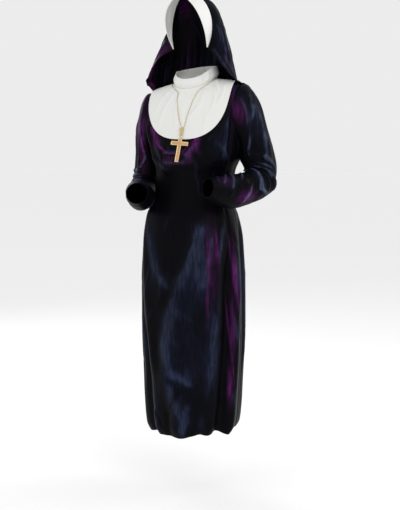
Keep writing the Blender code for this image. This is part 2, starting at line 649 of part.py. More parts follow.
# The necklace: a thin chain round the foot of the neck band, its centrepiece, and the cross that swings.

CHAIN_WIRE = 0.0018
CHAIN_POINTS = 46
CHAIN_OUT = BIB_OUT + CHAIN_WIRE / 2 + 2 * SEAM_GAP
CHAIN = Table(
    ("run", "angle", "down"),
    {
        "left_of_centrepiece": (0.00, -88.2, 0.118),
        "left_low": (0.06, -86.6, 0.086),
        "left_middle": (0.11, -83.0, 0.061),
        "left_high": (0.16, -77.0, 0.036),
        "left_top": (0.21, -66.0, 0.016),
        "left_foot": (0.27, -45.0, 0.009),
        "left_shoulder": (0.36, 0.0, 0.007),
        "back": (0.54, 90.0, 0.008),
        "right_shoulder": (0.72, 180.0, 0.007),
        "right_foot": (0.80, 225.0, 0.008),
        "right_top": (0.86, 247.0, 0.014),
        "right_high": (0.90, 254.0, 0.028),
        "right_middle": (0.95, 262.0, 0.066),
        "right_of_centrepiece": (1.00, 268.6, 0.118),
    },
)

PENDANT_X = 0.003
HINGE_Z = -0.1765
EYE_RADIUS = 0.0022
EYE_WIRE = 0.0006
LOOP_RADIUS = 0.0036
LOBES = {"upper": (-0.1485, 0.0085), "lower": (-0.1626, 0.0068)}
CENTREPIECE_THICKNESS = 0.0026
CROSS_LENGTH = 0.080
CROSS_SPAN = 0.062
CROSS_BAR = 0.0135
CROSS_ARM_DROP = 0.0165
CROSS_THICKNESS = 0.0036
CROSS_BORDER = 0.0022
CROSS_FIELD_DEPTH = 0.0007
CROSS_LEAN = math.radians(4)
CROSS_TOP_DROP = 0.0034
CROSS_EDGE = 0.0004
CHEST_ANGLES = np.radians(np.linspace(-112, -68, 23))
CHEST_REST_RUNS = np.linspace(0.10, 0.32, 45)
RING_SEGMENTS = 16
WIRE_SEGMENTS = 8
LOBE_SEGMENTS = 20


def pendant_lie():
    """Where the swinging line lies in front of the bib, and how far the pendant leans on the chest below it."""
    cloth_points = dress(*np.meshgrid(CHEST_ANGLES, CHEST_REST_RUNS), BIB_OUT).reshape(-1, 3)
    clear = EYE_RADIUS + EYE_WIRE + LAY_GAP
    beside_line = np.abs(cloth_points[:, 2] - HINGE_Z) < 2 * LOOP_RADIUS
    y = float(cloth_points[beside_line, 1].min()) - clear
    below = cloth_points[:, 2] < HINGE_Z - 2 * LOOP_RADIUS
    drop = HINGE_Z - cloth_points[below, 2]
    behind = drop < CROSS_LENGTH + CROSS_TOP_DROP
    proud = y + clear - cloth_points[below, 1]
    return y, float(np.arctan2(proud[behind], drop[behind]).clip(0.0).max())


def torus(name, major, wire, centre, upright_turn):
    """A small ring that stands upright, across the front where its turn is 0 and along it at a quarter."""
    bpy.ops.mesh.primitive_torus_add(
        major_segments=RING_SEGMENTS,
        minor_segments=WIRE_SEGMENTS,
        major_radius=major,
        minor_radius=wire,
        location=centre,
        rotation=(math.pi / 2, 0.0, upright_turn),
    )
    ring = bpy.context.object
    ring.name = name
    for collection in ring.users_collection:
        collection.objects.unlink(ring)
    cutters.objects.link(ring)
    ring.hide_render = True
    ring.display_type = "WIRE"
    return ring


def build_chain(y, lean):
    size = CHAIN.read(np.linspace(0.0, 1.0, CHAIN_POINTS))
    route = dress(np.radians(size["angle"]), size["down"], CHAIN_OUT)
    upper_z, upper_radius = LOBES["upper"]
    shoulder = (upper_radius + CHAIN_WIRE / 2) * math.sqrt(0.5)
    rise = upper_z + shoulder - HINGE_Z
    end_y = y + math.sin(lean) * rise
    end_z = HINGE_Z + math.cos(lean) * rise
    ends = [(PENDANT_X + way * shoulder, end_y, end_z) for way in (1, -1)]
    points = [ends[0], *map(tuple, route), ends[1]]
    curve = bpy.data.curves.new("chain", "CURVE")
    curve.dimensions = "3D"
    curve.bevel_depth = CHAIN_WIRE / 2
    curve.bevel_resolution = 1
    curve.use_fill_caps = True
    spline = curve.splines.new("POLY")
    spline.points.add(len(points) - 1)
    for slot, point in zip(spline.points, points):
        slot.co = (*point, 1.0)
    thing = bpy.data.objects.new("necklace_chain", curve)
    curve.materials.append(gold_alloy("gold_chain"))
    garment.objects.link(thing)


def lobe(name, radius, thickness, z, collection, material=None):
    bm = bmesh.new()
    shape = {"segments": LOBE_SEGMENTS, "radius1": radius, "radius2": radius, "depth": thickness}
    bmesh.ops.create_cone(bm, cap_ends=True, **shape)
    bmesh.ops.rotate(bm, cent=Vector(), matrix=Matrix.Rotation(math.pi / 2, 3, "X"), verts=bm.verts)
    bmesh.ops.translate(bm, vec=Vector((0.0, 0.0, z - HINGE_Z)), verts=bm.verts)
    mesh = bpy.data.meshes.new(name)
    bm.to_mesh(mesh)
    bm.free()
    return place(name, mesh, material, collection)


def build_centrepiece():
    upper_z, upper_radius = LOBES["upper"]
    lower_z, lower_radius = LOBES["lower"]
    gold = gold_alloy("gold_centrepiece")
    piece = lobe("necklace_centrepiece", upper_radius, CENTREPIECE_THICKNESS, upper_z, garment, gold)
    low = lobe("lower_lobe", lower_radius, CENTREPIECE_THICKNESS - 2 * CROSS_EDGE, lower_z, cutters)
    loop = torus("centrepiece_loop", LOOP_RADIUS, EYE_WIRE, (0.0, 0.0, LOOP_RADIUS), 0.0)
    combine(piece, low, "UNION")
    combine(piece, loop, "UNION")
    return piece, low, loop


def build_cross():
    """The cross, with its origin on the line it swings about."""
    length = CROSS_LENGTH
    middle_z = -CROSS_TOP_DROP - length / 2
    arm_z = -CROSS_TOP_DROP - CROSS_ARM_DROP
    field_y = -CROSS_THICKNESS / 2
    field_bar = CROSS_BAR - 2 * CROSS_BORDER
    eye_z = -(EYE_RADIUS - 2 * EYE_WIRE - SEAM_GAP)
    gold = gold_alloy("gold_cross")
    cross = box("cross", (CROSS_BAR, CROSS_THICKNESS, length), (0, 0, middle_z), garment, gold)
    arms = box("cross_arms", (CROSS_SPAN, CROSS_THICKNESS, CROSS_BAR), (0, 0, arm_z), cutters)
    upright_size = (field_bar, 2 * CROSS_FIELD_DEPTH, length - 2 * CROSS_BORDER)
    upright_field = box("upright_field", upright_size, (0, field_y, middle_z), cutters)
    arm_size = (CROSS_SPAN - 2 * CROSS_BORDER, 2 * CROSS_FIELD_DEPTH, field_bar)
    arm_field = box("arm_field", arm_size, (0, field_y, arm_z), cutters)
    eye = torus("cross_eye", EYE_RADIUS, EYE_WIRE, (0, 0, eye_z), math.pi / 2)
    combine(cross, arms, "UNION")
    combine(cross, upright_field, "DIFFERENCE")
    combine(cross, arm_field, "DIFFERENCE")
    combine(cross, eye, "UNION")
    return cross, (arms, upright_field, arm_field, eye)


def build_necklace():
    y, lean = pendant_lie()
    build_chain(y, lean)
    hinge = bpy.data.objects.new("cross_hinge", None)
    garment.objects.link(hinge)
    hinge.location = (PENDANT_X, y, HINGE_Z)
    hinge.rotation_euler = (-lean, 0.0, 0.0)
    cross, tools = build_cross()
    for thing in (*build_centrepiece(), cross, *tools):
        thing.parent = hinge
    for thing in (cross, *tools[:3]):
        thing.rotation_euler = (0.0, CROSS_LEAN, 0.0)


def main():
    for collection in (garment, cutters):
        bpy.context.scene.collection.children.link(collection)
    build_dress(build_seam_blocks())
    build_bib()
    build_headdress()
    build_necklace()


main()
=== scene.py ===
"""The looks of a nun costume in its worn shape: black velour dress, white cotton bib with a standing neck
band, white jersey headband, black velour veil, and a gold-coloured cross on a fine chain.

Metres, +Z up. The dress faces -Y and its wearer's left is +X.
"""

import math

import bpy
import numpy as np
from mathutils import Matrix, Vector
from mathutils.bvhtree import BVHTree


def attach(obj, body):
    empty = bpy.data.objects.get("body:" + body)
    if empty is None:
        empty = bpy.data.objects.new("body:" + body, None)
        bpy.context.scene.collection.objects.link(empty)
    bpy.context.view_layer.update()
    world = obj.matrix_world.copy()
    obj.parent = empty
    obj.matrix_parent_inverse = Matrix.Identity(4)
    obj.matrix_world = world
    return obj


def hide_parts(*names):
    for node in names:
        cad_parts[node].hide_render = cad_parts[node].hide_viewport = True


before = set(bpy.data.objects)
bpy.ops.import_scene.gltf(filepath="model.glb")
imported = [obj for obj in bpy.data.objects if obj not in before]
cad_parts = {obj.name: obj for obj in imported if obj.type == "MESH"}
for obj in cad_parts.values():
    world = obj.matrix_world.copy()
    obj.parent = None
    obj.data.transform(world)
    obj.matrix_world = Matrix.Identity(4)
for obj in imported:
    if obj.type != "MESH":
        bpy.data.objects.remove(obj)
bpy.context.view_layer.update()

# The studio: a plain pale floor under the hanging hem, an even pale surround, large soft lights, and a
# camera a little to the dress's left, at the height of its chest.

FLOOR_Z = -1.40
FLOOR_SIZE = 60.0
CAMERA_TURN = math.radians(22)
CAMERA_DISTANCE = 3.9
CAMERA_HEIGHT = -0.15
AIM_HEIGHT = -0.58
PHOTO_HEIGHT_PX = 510
METRES_PER_PX = 0.00345
SIDE_SHIFT_PX = 6
SENSOR_MM = 24.0
SOFTBOXES = {
    "key": ((2.9, -2.4, 1.6), 2.0, 34.0),
    "fill": ((-2.6, -2.6, 1.0), 2.2, 10.0),
    "left_edge": ((2.8, 1.8, 0.9), 1.4, 24.0),
    "right_edge": ((-2.6, 1.9, 0.9), 1.4, 24.0),
}
SURROUND_STRENGTH = 0.84
FLOOR_GLOW = 0.10


def srgb(hex_colour):
    """A hex colour as linear red, green, blue and alpha."""
    parts = [int(hex_colour[i : i + 2], 16) / 255 for i in (1, 3, 5)]
    linear = [c / 12.92 if c <= 0.04045 else ((c + 0.055) / 1.055) ** 2.4 for c in parts]
    return (*linear, 1.0)


def new_material(name, **sockets):
    """A material whose Principled shader has these settings, its spaces written as underscores."""
    material = bpy.data.materials.new(name)
    material.use_nodes = True
    shader = material.node_tree.nodes["Principled BSDF"]
    for socket, value in sockets.items():
        shader.inputs[socket.replace("_", " ")].default_value = value
    return material


def deselect_all():
    bpy.ops.object.select_all(action="DESELECT")


deselect_all()
bpy.ops.mesh.primitive_plane_add(size=FLOOR_SIZE, location=(0.0, 0.0, FLOOR_Z))
floor = bpy.context.object
floor.name = "studio_floor"
paper = new_material(
    "matt_white_paper",
    Base_Color=srgb("#F0F0F0"),
    Roughness=0.9,
    Emission_Color=srgb("#FFFFFF"),
    Emission_Strength=FLOOR_GLOW,
)
floor.data.materials.append(paper)

world = bpy.data.worlds.new("pale_surround")
world.use_nodes = True
world.node_tree.nodes["Background"].inputs["Color"].default_value = srgb("#FFFFFF")
world.node_tree.nodes["Background"].inputs["Strength"].default_value = SURROUND_STRENGTH
bpy.context.scene.world = world
bpy.context.scene.view_settings.view_transform = "Standard"

aim = Vector((0.0, 0.0, AIM_HEIGHT))
for name, (place, size, power) in SOFTBOXES.items():
    lamp = bpy.data.lights.new(f"softbox_{name}", "AREA")
    lamp.size = size
    lamp.energy = power
    softbox = bpy.data.objects.new(f"softbox_{name}", lamp)
    bpy.context.scene.collection.objects.link(softbox)
    softbox.location = place
    softbox.rotation_euler = (aim - Vector(place)).to_track_quat("-Z", "Y").to_euler()

lens = bpy.data.cameras.new("camera")
camera = bpy.data.objects.new("camera", lens)
bpy.context.scene.collection.objects.link(camera)
camera.location = (
    CAMERA_DISTANCE * math.sin(CAMERA_TURN),
    -CAMERA_DISTANCE * math.cos(CAMERA_TURN),
    CAMERA_HEIGHT,
)
sight = aim - camera.location
camera.rotation_euler = sight.to_track_quat("-Z", "Y").to_euler()
lens.sensor_fit = "VERTICAL"
lens.sensor_height = SENSOR_MM
lens.lens = SENSOR_MM * sight.length / (PHOTO_HEIGHT_PX * METRES_PER_PX)
lens.shift_x = SIDE_SHIFT_PX / PHOTO_HEIGHT_PX
bpy.context.scene.camera = camera

# The dress's two panels, front and back: black crushed velour, a knit with a short shiny nap, sewn together
# at the shoulders and down the sides, and hung from the shoulders with nothing to shape it below the chest.

SEAM_GAP = 0.0003
LAY_GAP = 0.0009
DRESS_WALL = 0.0018
FULL_TURN = 2 * math.pi


class Table:
    """Named rows of named columns, read at any run down the cloth on a curve that never overshoots."""

    def __init__(self, columns, rows):
        self.columns = columns
        self.data = np.array(list(rows.values()), float)
        self.run = self.data[:, columns.index("run")]
        self.last = float(self.run[-1])
        step = np.diff(self.run)[:, None]
        rise = np.diff(self.data, axis=0) / step
        self.slopes = np.zeros_like(self.data)
        self.slopes[0] = rise[0]
        self.slopes[-1] = rise[-1]
        product = rise[:-1] * rise[1:]
        total = np.where(product > 0, rise[:-1] + rise[1:], 1.0)
        self.slopes[1:-1] = np.where(product > 0, 2 * product / total, 0.0)

    def read(self, run):
        """A dict from each column's name to its values at these runs."""
        run = np.asarray(run, float)
        below = np.clip(np.searchsorted(self.run, run, side="right") - 1, 0, len(self.run) - 2)
        length = (self.run[below + 1] - self.run[below])[..., None]
        t = (run - self.run[below])[..., None] / length
        a = self.data[below]
        b = self.data[below + 1]
        slope_a = self.slopes[below] * length
        slope_b = self.slopes[below + 1] * length
        curve = a * (1 + 2 * t) * (1 - t) ** 2 + slope_a * t * (1 - t) ** 2
        curve = curve + b * t**2 * (3 - 2 * t) + slope_b * t**2 * (t - 1)
        curve = np.where(t > 1, b + slope_b * (t - 1), curve)
        curve = np.where(t < 0, a + slope_a * t, curve)
        return {name: curve[..., i] for i, name in enumerate(self.columns)}


def signed_power(value, power):
    return np.sign(value) * np.abs(value) ** power


def smooth_step(value):
    value = np.clip(value, 0.0, 1.0)
    return value * value * (3 - 2 * value)


FOLD_SPREAD = 0.55


def fold_height(folds, across, along):
    """How far the folds lift the cloth at these places, both given in metres on the cloth.

    A fold is a soft ridge, or a trough where its height is negative, on the line from its start to its end.
    It dies out half_width to each side, and fades in and out over fade metres at its ends.
    """
    lift = np.zeros(np.broadcast(across, along).shape)
    for start_across, start_along, end_across, end_along, half_width, height, fade in folds.values():
        way = np.array([end_across - start_across, end_along - start_along])
        length = float(np.hypot(*way))
        way = way / length
        right = across - start_across
        down = along - start_along
        travelled = right * way[0] + down * way[1]
        beside = right * way[1] - down * way[0]
        ends = smooth_step(travelled / fade + 0.5) * smooth_step((length - travelled) / fade + 0.5)
        lift = lift + height * ends * np.exp(-((beside / (FOLD_SPREAD * half_width)) ** 2))
    return lift


NORMAL_TURN = 0.01
NORMAL_RUN = 0.002


def normals_of(skin, angle, run):
    """Unit normals of a skin, pointing out, from points a small step apart round it and down it."""
    across = skin(angle + NORMAL_TURN, run) - skin(angle - NORMAL_TURN, run)
    along = skin(angle, run + NORMAL_RUN) - skin(angle, run - NORMAL_RUN)
    normal = np.cross(along, across)
    return normal / np.linalg.norm(normal, axis=-1, keepdims=True)


DRESS_SETBACK = 0.006
DRESS_SQUARENESS = 2.25
SHOULDER_CURVE = 1.5
DRESS_MEAN_RADIUS = 0.155
DRESS = Table(
    ("run", "half_width", "front", "back", "side_z", "front_z", "back_z", "shift", "lean"),
    {
        "neckline": (0.000, 0.071, 0.063, 0.060, 0.012, -0.014, 0.018, 0.005, 0.09),
        "collarbone": (0.035, 0.108, 0.080, 0.080, 0.006, -0.048, -0.002, 0.003, 0.09),
        "shoulder": (0.080, 0.152, 0.097, 0.102, -0.006, -0.098, -0.045, 0.002, 0.09),
        "shoulder_tip": (0.120, 0.171, 0.110, 0.112, -0.034, -0.138, -0.090, 0.003, 0.09),
        "armhole": (0.180, 0.172, 0.123, 0.118, -0.092, -0.178, -0.145, 0.005, 0.08),
        "bust": (0.235, 0.166, 0.130, 0.116, -0.152, -0.212, -0.190, 0.009, 0.05),
        "underarm": (0.310, 0.152, 0.124, 0.110, -0.238, -0.262, -0.250, 0.012, 0.03),
        "ribs": (0.355, 0.137, 0.114, 0.104, -0.292, -0.300, -0.296, 0.004, 0.02),
        "waist": (0.430, 0.134, 0.108, 0.100, -0.370, -0.372, -0.370, -0.004, 0.00),
        "high_hip": (0.505, 0.157, 0.122, 0.116, -0.445, -0.445, -0.445, -0.010, 0.00),
        "hip": (0.610, 0.167, 0.132, 0.126, -0.550, -0.550, -0.550, -0.009, 0.00),
        "thigh": (0.740, 0.173, 0.138, 0.134, -0.680, -0.680, -0.680, -0.007, 0.00),
        "knee": (0.900, 0.174, 0.138, 0.136, -0.840, -0.840, -0.840, -0.005, 0.00),
        "calf": (1.060, 0.168, 0.134, 0.132, -1.000, -1.000, -1.000, -0.004, 0.00),
        "shin": (1.180, 0.162, 0.129, 0.127, -1.120, -1.120, -1.120, -0.004, 0.01),
        "above_hem": (1.228, 0.156, 0.126, 0.124, -1.168, -1.166, -1.166, -0.004, 0.03),
        "hem": (1.256, 0.143, 0.116, 0.115, -1.190, -1.194, -1.192, -0.004, 0.05),
    },
)

# Across is metres round the body from the left side seam. The middle of the front is at -0.243 and the
# middle of the back at 0.243.
DRESS_FOLDS = {
    "under_bib_diagonal": (-0.262, 0.290, -0.165, 0.205, 0.034, 0.007, 0.05),
    "chest_left_drop": (-0.120, 0.190, -0.140, 0.330, 0.030, 0.006, 0.06),
    "chest_right_drop": (-0.395, 0.170, -0.385, 0.330, 0.030, 0.007, 0.06),
    "waist_swag": (-0.330, 0.330, -0.190, 0.345, 0.030, 0.006, 0.05),
    "long_diagonal": (-0.165, 0.520, -0.300, 1.120, 0.054, 0.012, 0.16),
    "left_front_ridge": (-0.115, 0.540, -0.140, 1.020, 0.034, 0.010, 0.14),
    "left_side_trough": (-0.060, 0.640, -0.105, 1.340, 0.048, -0.022, 0.22),
    "left_side_ridge": (-0.020, 0.560, -0.050, 1.340, 0.044, 0.012, 0.20),
    "right_front_ridge": (-0.400, 0.520, -0.330, 1.060, 0.044, 0.009, 0.16),
    "right_side_ridge": (-0.455, 0.620, -0.440, 1.340, 0.048, 0.009, 0.20),
    "right_hem_trough": (-0.385, 0.900, -0.370, 1.340, 0.044, -0.015, 0.18),
    "middle_hem_ridge": (-0.262, 1.060, -0.235, 1.340, 0.044, 0.012, 0.12),
    "middle_hem_trough": (-0.200, 1.060, -0.170, 1.340, 0.040, -0.012, 0.12),
    "back_left_ridge": (0.080, 0.500, 0.095, 1.340, 0.050, 0.012, 0.20),
    "back_left_trough": (0.140, 0.560, 0.150, 1.340, 0.046, -0.015, 0.20),
    "back_middle_ridge": (0.215, 0.520, 0.225, 1.340, 0.052, 0.013, 0.20),
    "back_middle_trough": (0.275, 0.620, 0.280, 1.340, 0.046, -0.014, 0.20),
    "back_right_ridge": (0.345, 0.520, 0.350, 1.340, 0.050, 0.012, 0.20),
    "back_right_trough": (0.420, 0.640, 0.415, 1.340, 0.046, -0.012, 0.20),
    "small_of_back": (0.150, 0.400, 0.330, 0.410, 0.038, -0.007, 0.08),
}


def bare_dress(angle, run):
    """The dress with no folds. Angle 0 is the left side seam and a quarter turn back from it the front."""
    size = DRESS.read(run)
    side = np.cos(angle)
    deep = np.sin(angle)
    in_front = deep < 0
    x = size["half_width"] * signed_power(side, 2 / DRESS_SQUARENESS) + size["shift"]
    depth = np.where(in_front, size["front"], size["back"])
    y = depth * signed_power(deep, 2 / DRESS_SQUARENESS) + DRESS_SETBACK
    end_z = np.where(in_front, size["front_z"], size["back_z"])
    z = size["side_z"] + (end_z - size["side_z"]) * np.abs(deep) ** SHOULDER_CURVE + size["lean"] * x
    return np.stack(np.broadcast_arrays(x, y, z), axis=-1)


def dress(angle, run, out=0.0):
    """The outside of the dress with its folds, or the skin that lies out metres off it."""
    around = (angle + math.pi) % FULL_TURN - math.pi
    lift = fold_height(DRESS_FOLDS, around * DRESS_MEAN_RADIUS, run) + out
    return bare_dress(angle, run) + normals_of(bare_dress, angle, run) * lift[..., None]

# The smaller creases, one row each in the same form as the folds. The lines that run from the front's
# long diagonal are kept; the back has like ones.
DRESS_CREASES = {
    "chest_purple_diagonal": (-0.1934, 0.185, -0.2400, 0.290, 0.020, 0.0060, 0.03),
    "chest_diagonal_shadow": (-0.2080, 0.180, -0.2560, 0.270, 0.016, -0.0040, 0.03),
    "under_bib_roll": (-0.3120, 0.262, -0.2500, 0.256, 0.018, 0.0045, 0.03),
    "under_bib_dip": (-0.3200, 0.284, -0.2350, 0.280, 0.014, -0.0040, 0.03),
    "waist_roll": (-0.3150, 0.308, -0.2350, 0.304, 0.018, 0.0045, 0.03),
    "armpit_right_drop": (-0.3640, 0.140, -0.3680, 0.250, 0.014, -0.0050, 0.04),
    "armpit_right_roll": (-0.3480, 0.200, -0.3360, 0.290, 0.014, 0.0040, 0.04),
    "bust_left_drop": (-0.0950, 0.150, -0.1050, 0.300, 0.018, 0.0045, 0.05),
    "bust_left_dip": (-0.0750, 0.170, -0.0820, 0.290, 0.016, -0.0045, 0.05),
    "side_left_pull": (-0.0550, 0.200, -0.0150, 0.300, 0.014, 0.0040, 0.04),
    "bust_left_pull": (-0.1400, 0.240, -0.0700, 0.320, 0.014, 0.0035, 0.04),
    "waist_right_pull": (-0.3000, 0.340, -0.3900, 0.300, 0.014, 0.0035, 0.04),
    "hip_diagonal_high": (-0.1680, 0.530, -0.2450, 0.730, 0.034, 0.0059, 0.06),
    "hip_diagonal_low": (-0.2450, 0.700, -0.2820, 0.960, 0.039, 0.0051, 0.10),
    "hip_diagonal_shadow": (-0.2000, 0.560, -0.2780, 0.800, 0.028, -0.0047, 0.08),
    "diagonal_tail": (-0.2780, 0.930, -0.2500, 1.180, 0.034, 0.0038, 0.10),
    "right_hip_soft": (-0.3750, 0.530, -0.2950, 0.720, 0.034, 0.0038, 0.10),
    "right_hip_soft_end": (-0.2950, 0.705, -0.2620, 0.750, 0.022, 0.0030, 0.04),
    "front_purple_line": (-0.1290, 0.550, -0.1570, 0.720, 0.021, 0.0043, 0.05),
    "front_purple_shadow": (-0.1140, 0.550, -0.1380, 0.740, 0.018, -0.0043, 0.05),
    "side_line": (-0.0850, 0.530, -0.1190, 0.665, 0.021, 0.0043, 0.05),
    "side_trough_high": (-0.0580, 0.480, -0.0480, 0.640, 0.015, -0.0060, 0.06),
    "side_trough_low": (-0.0500, 0.620, -0.0780, 1.250, 0.022, -0.0051, 0.10),
    "side_ridge_high": (-0.0440, 0.600, -0.0200, 0.780, 0.020, 0.0051, 0.06),
    "side_ridge_low": (-0.0600, 0.720, -0.0400, 0.930, 0.018, 0.0043, 0.06),
    "side_hem_ridge": (-0.0700, 1.020, -0.0480, 1.150, 0.020, 0.0043, 0.06),
    "front_broad_sheen": (-0.1850, 0.560, -0.1700, 0.760, 0.042, 0.0051, 0.12),
    "front_long_low": (-0.1320, 0.820, -0.1500, 1.080, 0.031, 0.0043, 0.12),
    "knee_cross_pull": (-0.2600, 1.028, -0.2080, 1.075, 0.022, 0.0043, 0.03),
    "knee_cross_dip": (-0.2700, 1.050, -0.2150, 1.100, 0.020, -0.0034, 0.03),
    "hem_ridge": (-0.2200, 1.140, -0.2370, 1.250, 0.020, 0.0051, 0.04),
    "hem_dip": (-0.2000, 1.150, -0.2120, 1.250, 0.018, -0.0043, 0.04),
    "hem_right_dip": (-0.2750, 1.160, -0.2800, 1.250, 0.021, -0.0043, 0.05),
    "hem_far_right": (-0.3300, 1.080, -0.3400, 1.250, 0.025, 0.0043, 0.06),
    "right_side_line": (-0.4250, 0.600, -0.4100, 1.000, 0.025, 0.0043, 0.12),
    "right_side_shadow": (-0.4420, 0.620, -0.4300, 1.060, 0.022, -0.0043, 0.12),
    "back_shoulder_left": (0.1100, 0.150, 0.1500, 0.330, 0.018, 0.0040, 0.06),
    "back_shoulder_right": (0.3750, 0.150, 0.3300, 0.330, 0.018, 0.0040, 0.06),
    "back_waist_roll": (0.1500, 0.345, 0.2700, 0.352, 0.016, 0.0045, 0.04),
    "back_waist_dip": (0.1700, 0.372, 0.3100, 0.378, 0.014, -0.0045, 0.04),
    "back_waist_roll_low": (0.2100, 0.398, 0.3500, 0.392, 0.016, 0.0040, 0.04),
    "back_left_line": (0.0700, 0.520, 0.0550, 1.020, 0.022, 0.0047, 0.12),
    "back_left_dip": (0.0400, 0.540, 0.0300, 1.180, 0.022, -0.0051, 0.12),
    "back_quarter_line": (0.1250, 0.560, 0.1380, 0.980, 0.022, 0.0043, 0.12),
    "back_quarter_dip": (0.1750, 0.640, 0.1850, 1.240, 0.025, -0.0047, 0.12),
    "back_middle_line": (0.2300, 0.480, 0.2420, 0.840, 0.016, 0.0055, 0.10),
    "back_middle_low": (0.2500, 0.820, 0.2380, 1.230, 0.025, 0.0043, 0.12),
    "back_right_line": (0.3100, 0.540, 0.3000, 0.900, 0.022, 0.0043, 0.12),
    "back_right_dip": (0.3820, 0.600, 0.3900, 1.220, 0.025, -0.0051, 0.12),
    "back_far_right_line": (0.4400, 0.560, 0.4480, 1.080, 0.022, 0.0047, 0.12),
    "back_hem_left": (0.1000, 1.120, 0.1080, 1.250, 0.022, 0.0043, 0.06),
    "back_hem_middle": (0.2120, 1.130, 0.2050, 1.250, 0.022, -0.0043, 0.06),
    "back_hem_right": (0.3400, 1.110, 0.3460, 1.250, 0.022, 0.0043, 0.06),
}
SMALL_CREASES = {
    "seed": 11,
    "count": 150,
    "across_span": (-0.47, 0.47),
    "along_span": (0.16, 1.20),
    "slope": 0.35,
}
SMALL_CREASE_LENGTHS = (0.03, 0.15)
SMALL_CREASE_HALF_WIDTHS = (0.007, 0.016)
SMALL_CREASE_HEIGHTS = (0.0008, 0.0024)
CREASE_END_SHARE = 0.4
SIDE_SEAM_HALF_WIDTH = 0.0045
SIDE_SEAM_DEPTH = 0.0014
HEM_TURNING = 0.022
HEM_STITCH_DEPTH = 0.0007
HEM_STITCH_HALF_WIDTH = 0.0025


def scattered_creases(seed, count, across_span, along_span, slope, size=1.0):
    """Small soft creases in no order, most of them steep, shorter and lower than the listed ones."""
    chance = np.random.default_rng(seed)
    creases = {}
    for i in range(count):
        across = chance.uniform(*across_span)
        along = chance.uniform(*along_span)
        length = chance.uniform(*SMALL_CREASE_LENGTHS) * size
        turn = chance.normal(0.0, slope)
        end_across = across + length * math.sin(turn)
        end_along = along + length * math.cos(turn)
        half_width = chance.uniform(*SMALL_CREASE_HALF_WIDTHS) * size
        height = chance.uniform(*SMALL_CREASE_HEIGHTS) * chance.choice([-1.0, 1.0]) * size
        creases[i] = (across, along, end_across, end_along, half_width, height, CREASE_END_SHARE * length)
    return creases


dress_small_creases = scattered_creases(**SMALL_CREASES)


def seam_groove(distance, half_width, depth):
    return -depth * np.exp(-((distance / half_width) ** 2))


CREASES_FROM = 0.10
CREASES_FADE_IN = 0.06
# Where the bib lies the dress under it has no rolls, only dips.
BIB_COVER_HALF_WIDTH = 0.154
BIB_COVER_DROPS = (0.188, 0.106)
BIB_COVER_ROUNDNESS = 2.6
BIB_COVER_FADE = 0.10


def bare_of_bib(angle, run):
    """0 under the bib and 1 a finger's width outside it, with a soft change between."""
    x, _, z = np.moveaxis(dress(angle, run), -1, 0)
    drop = np.where(np.sin(angle) < 0, *BIB_COVER_DROPS)
    reach = (np.abs(x) / BIB_COVER_HALF_WIDTH) ** BIB_COVER_ROUNDNESS
    reach = reach + (np.clip(-z, 0.0, None) / drop) ** BIB_COVER_ROUNDNESS
    return smooth_step((reach ** (1 / BIB_COVER_ROUNDNESS) - 1.0) / BIB_COVER_FADE)


def dress_crease_lift(angle, run):
    """How far the dress's creases stand out of its folds."""
    across = ((angle + math.pi) % FULL_TURN - math.pi) * DRESS_MEAN_RADIUS
    lift = fold_height(DRESS_CREASES, across, run) + fold_height(dress_small_creases, across, run)
    lift = lift * smooth_step((run - CREASES_FROM) / CREASES_FADE_IN)
    return np.minimum(lift, 0.0) + np.maximum(lift, 0.0) * bare_of_bib(angle, run)


def creased_dress(angle, run, out=0.0):
    """The dress with its folds, all its creases, its side seams and its stitched hem."""
    angle, run = np.broadcast_arrays(angle, run)
    across = ((angle + math.pi) % FULL_TURN - math.pi) * DRESS_MEAN_RADIUS
    lift = dress_crease_lift(angle, run)
    to_seam = np.minimum(np.abs(across), math.pi * DRESS_MEAN_RADIUS - np.abs(across))
    lift = lift + seam_groove(to_seam, SIDE_SEAM_HALF_WIDTH, SIDE_SEAM_DEPTH)
    lift = lift + seam_groove(DRESS.last - HEM_TURNING - run, HEM_STITCH_HALF_WIDTH, HEM_STITCH_DEPTH)
    return dress(angle, run, lift + out)


MERGE_DISTANCE = 0.0001


def cloth_from_rows(name, points, closed_round=False):
    """A sheet of cloth: a grid whose rows are laid on these rows of points.

    The first row is the upper edge and lies at the top of the sheet's UV map.
    """
    rows, columns = points.shape[:2]
    deselect_all()
    bpy.ops.mesh.primitive_grid_add(x_subdivisions=columns - 1, y_subdivisions=rows - 1, size=1.0)
    piece = bpy.context.object
    piece.name = name
    piece.data.name = name
    piece.data.vertices.foreach_set("co", points[::-1].reshape(-1).astype(np.float32))
    piece.data.update()
    if closed_round:
        merge_doubles(piece)
    return piece


def merge_doubles(piece):
    bpy.ops.object.mode_set(mode="EDIT")
    bpy.ops.mesh.select_all(action="SELECT")
    bpy.ops.mesh.remove_doubles(threshold=MERGE_DISTANCE)
    bpy.ops.object.mode_set(mode="OBJECT")


CUT_EDGE_ANGLE = math.radians(60)


def add_wall(piece, wall):
    """Gives the sheet its thickness on the inside, and smooth shading but for its cut edges."""
    thickness = piece.modifiers.new("wall", "SOLIDIFY")
    thickness.thickness = wall
    thickness.offset = -1.0
    deselect_all()
    bpy.context.view_layer.objects.active = piece
    piece.select_set(True)
    bpy.ops.object.modifier_apply(modifier=thickness.name)
    bpy.ops.object.shade_smooth_by_angle(angle=CUT_EDGE_ANGLE)


def add_attribute(piece, name, values):
    layer = piece.data.attributes.new(name, "FLOAT", "POINT")
    layer.data.foreach_set("value", np.asarray(values, np.float32).reshape(-1))


def add_node(material, kind, links=(), **settings):
    """A node with its settings, fed by links of (its socket, another node, that node's output)."""
    tree = material.node_tree
    node = tree.nodes.new(kind)
    for key, value in settings.items():
        if hasattr(node, key):
            setattr(node, key, value)
        else:
            node.inputs[key.replace("_", " ")].default_value = value
    for socket, source, output in links:
        tree.links.new(source.outputs[output], node.inputs[socket])
    return node


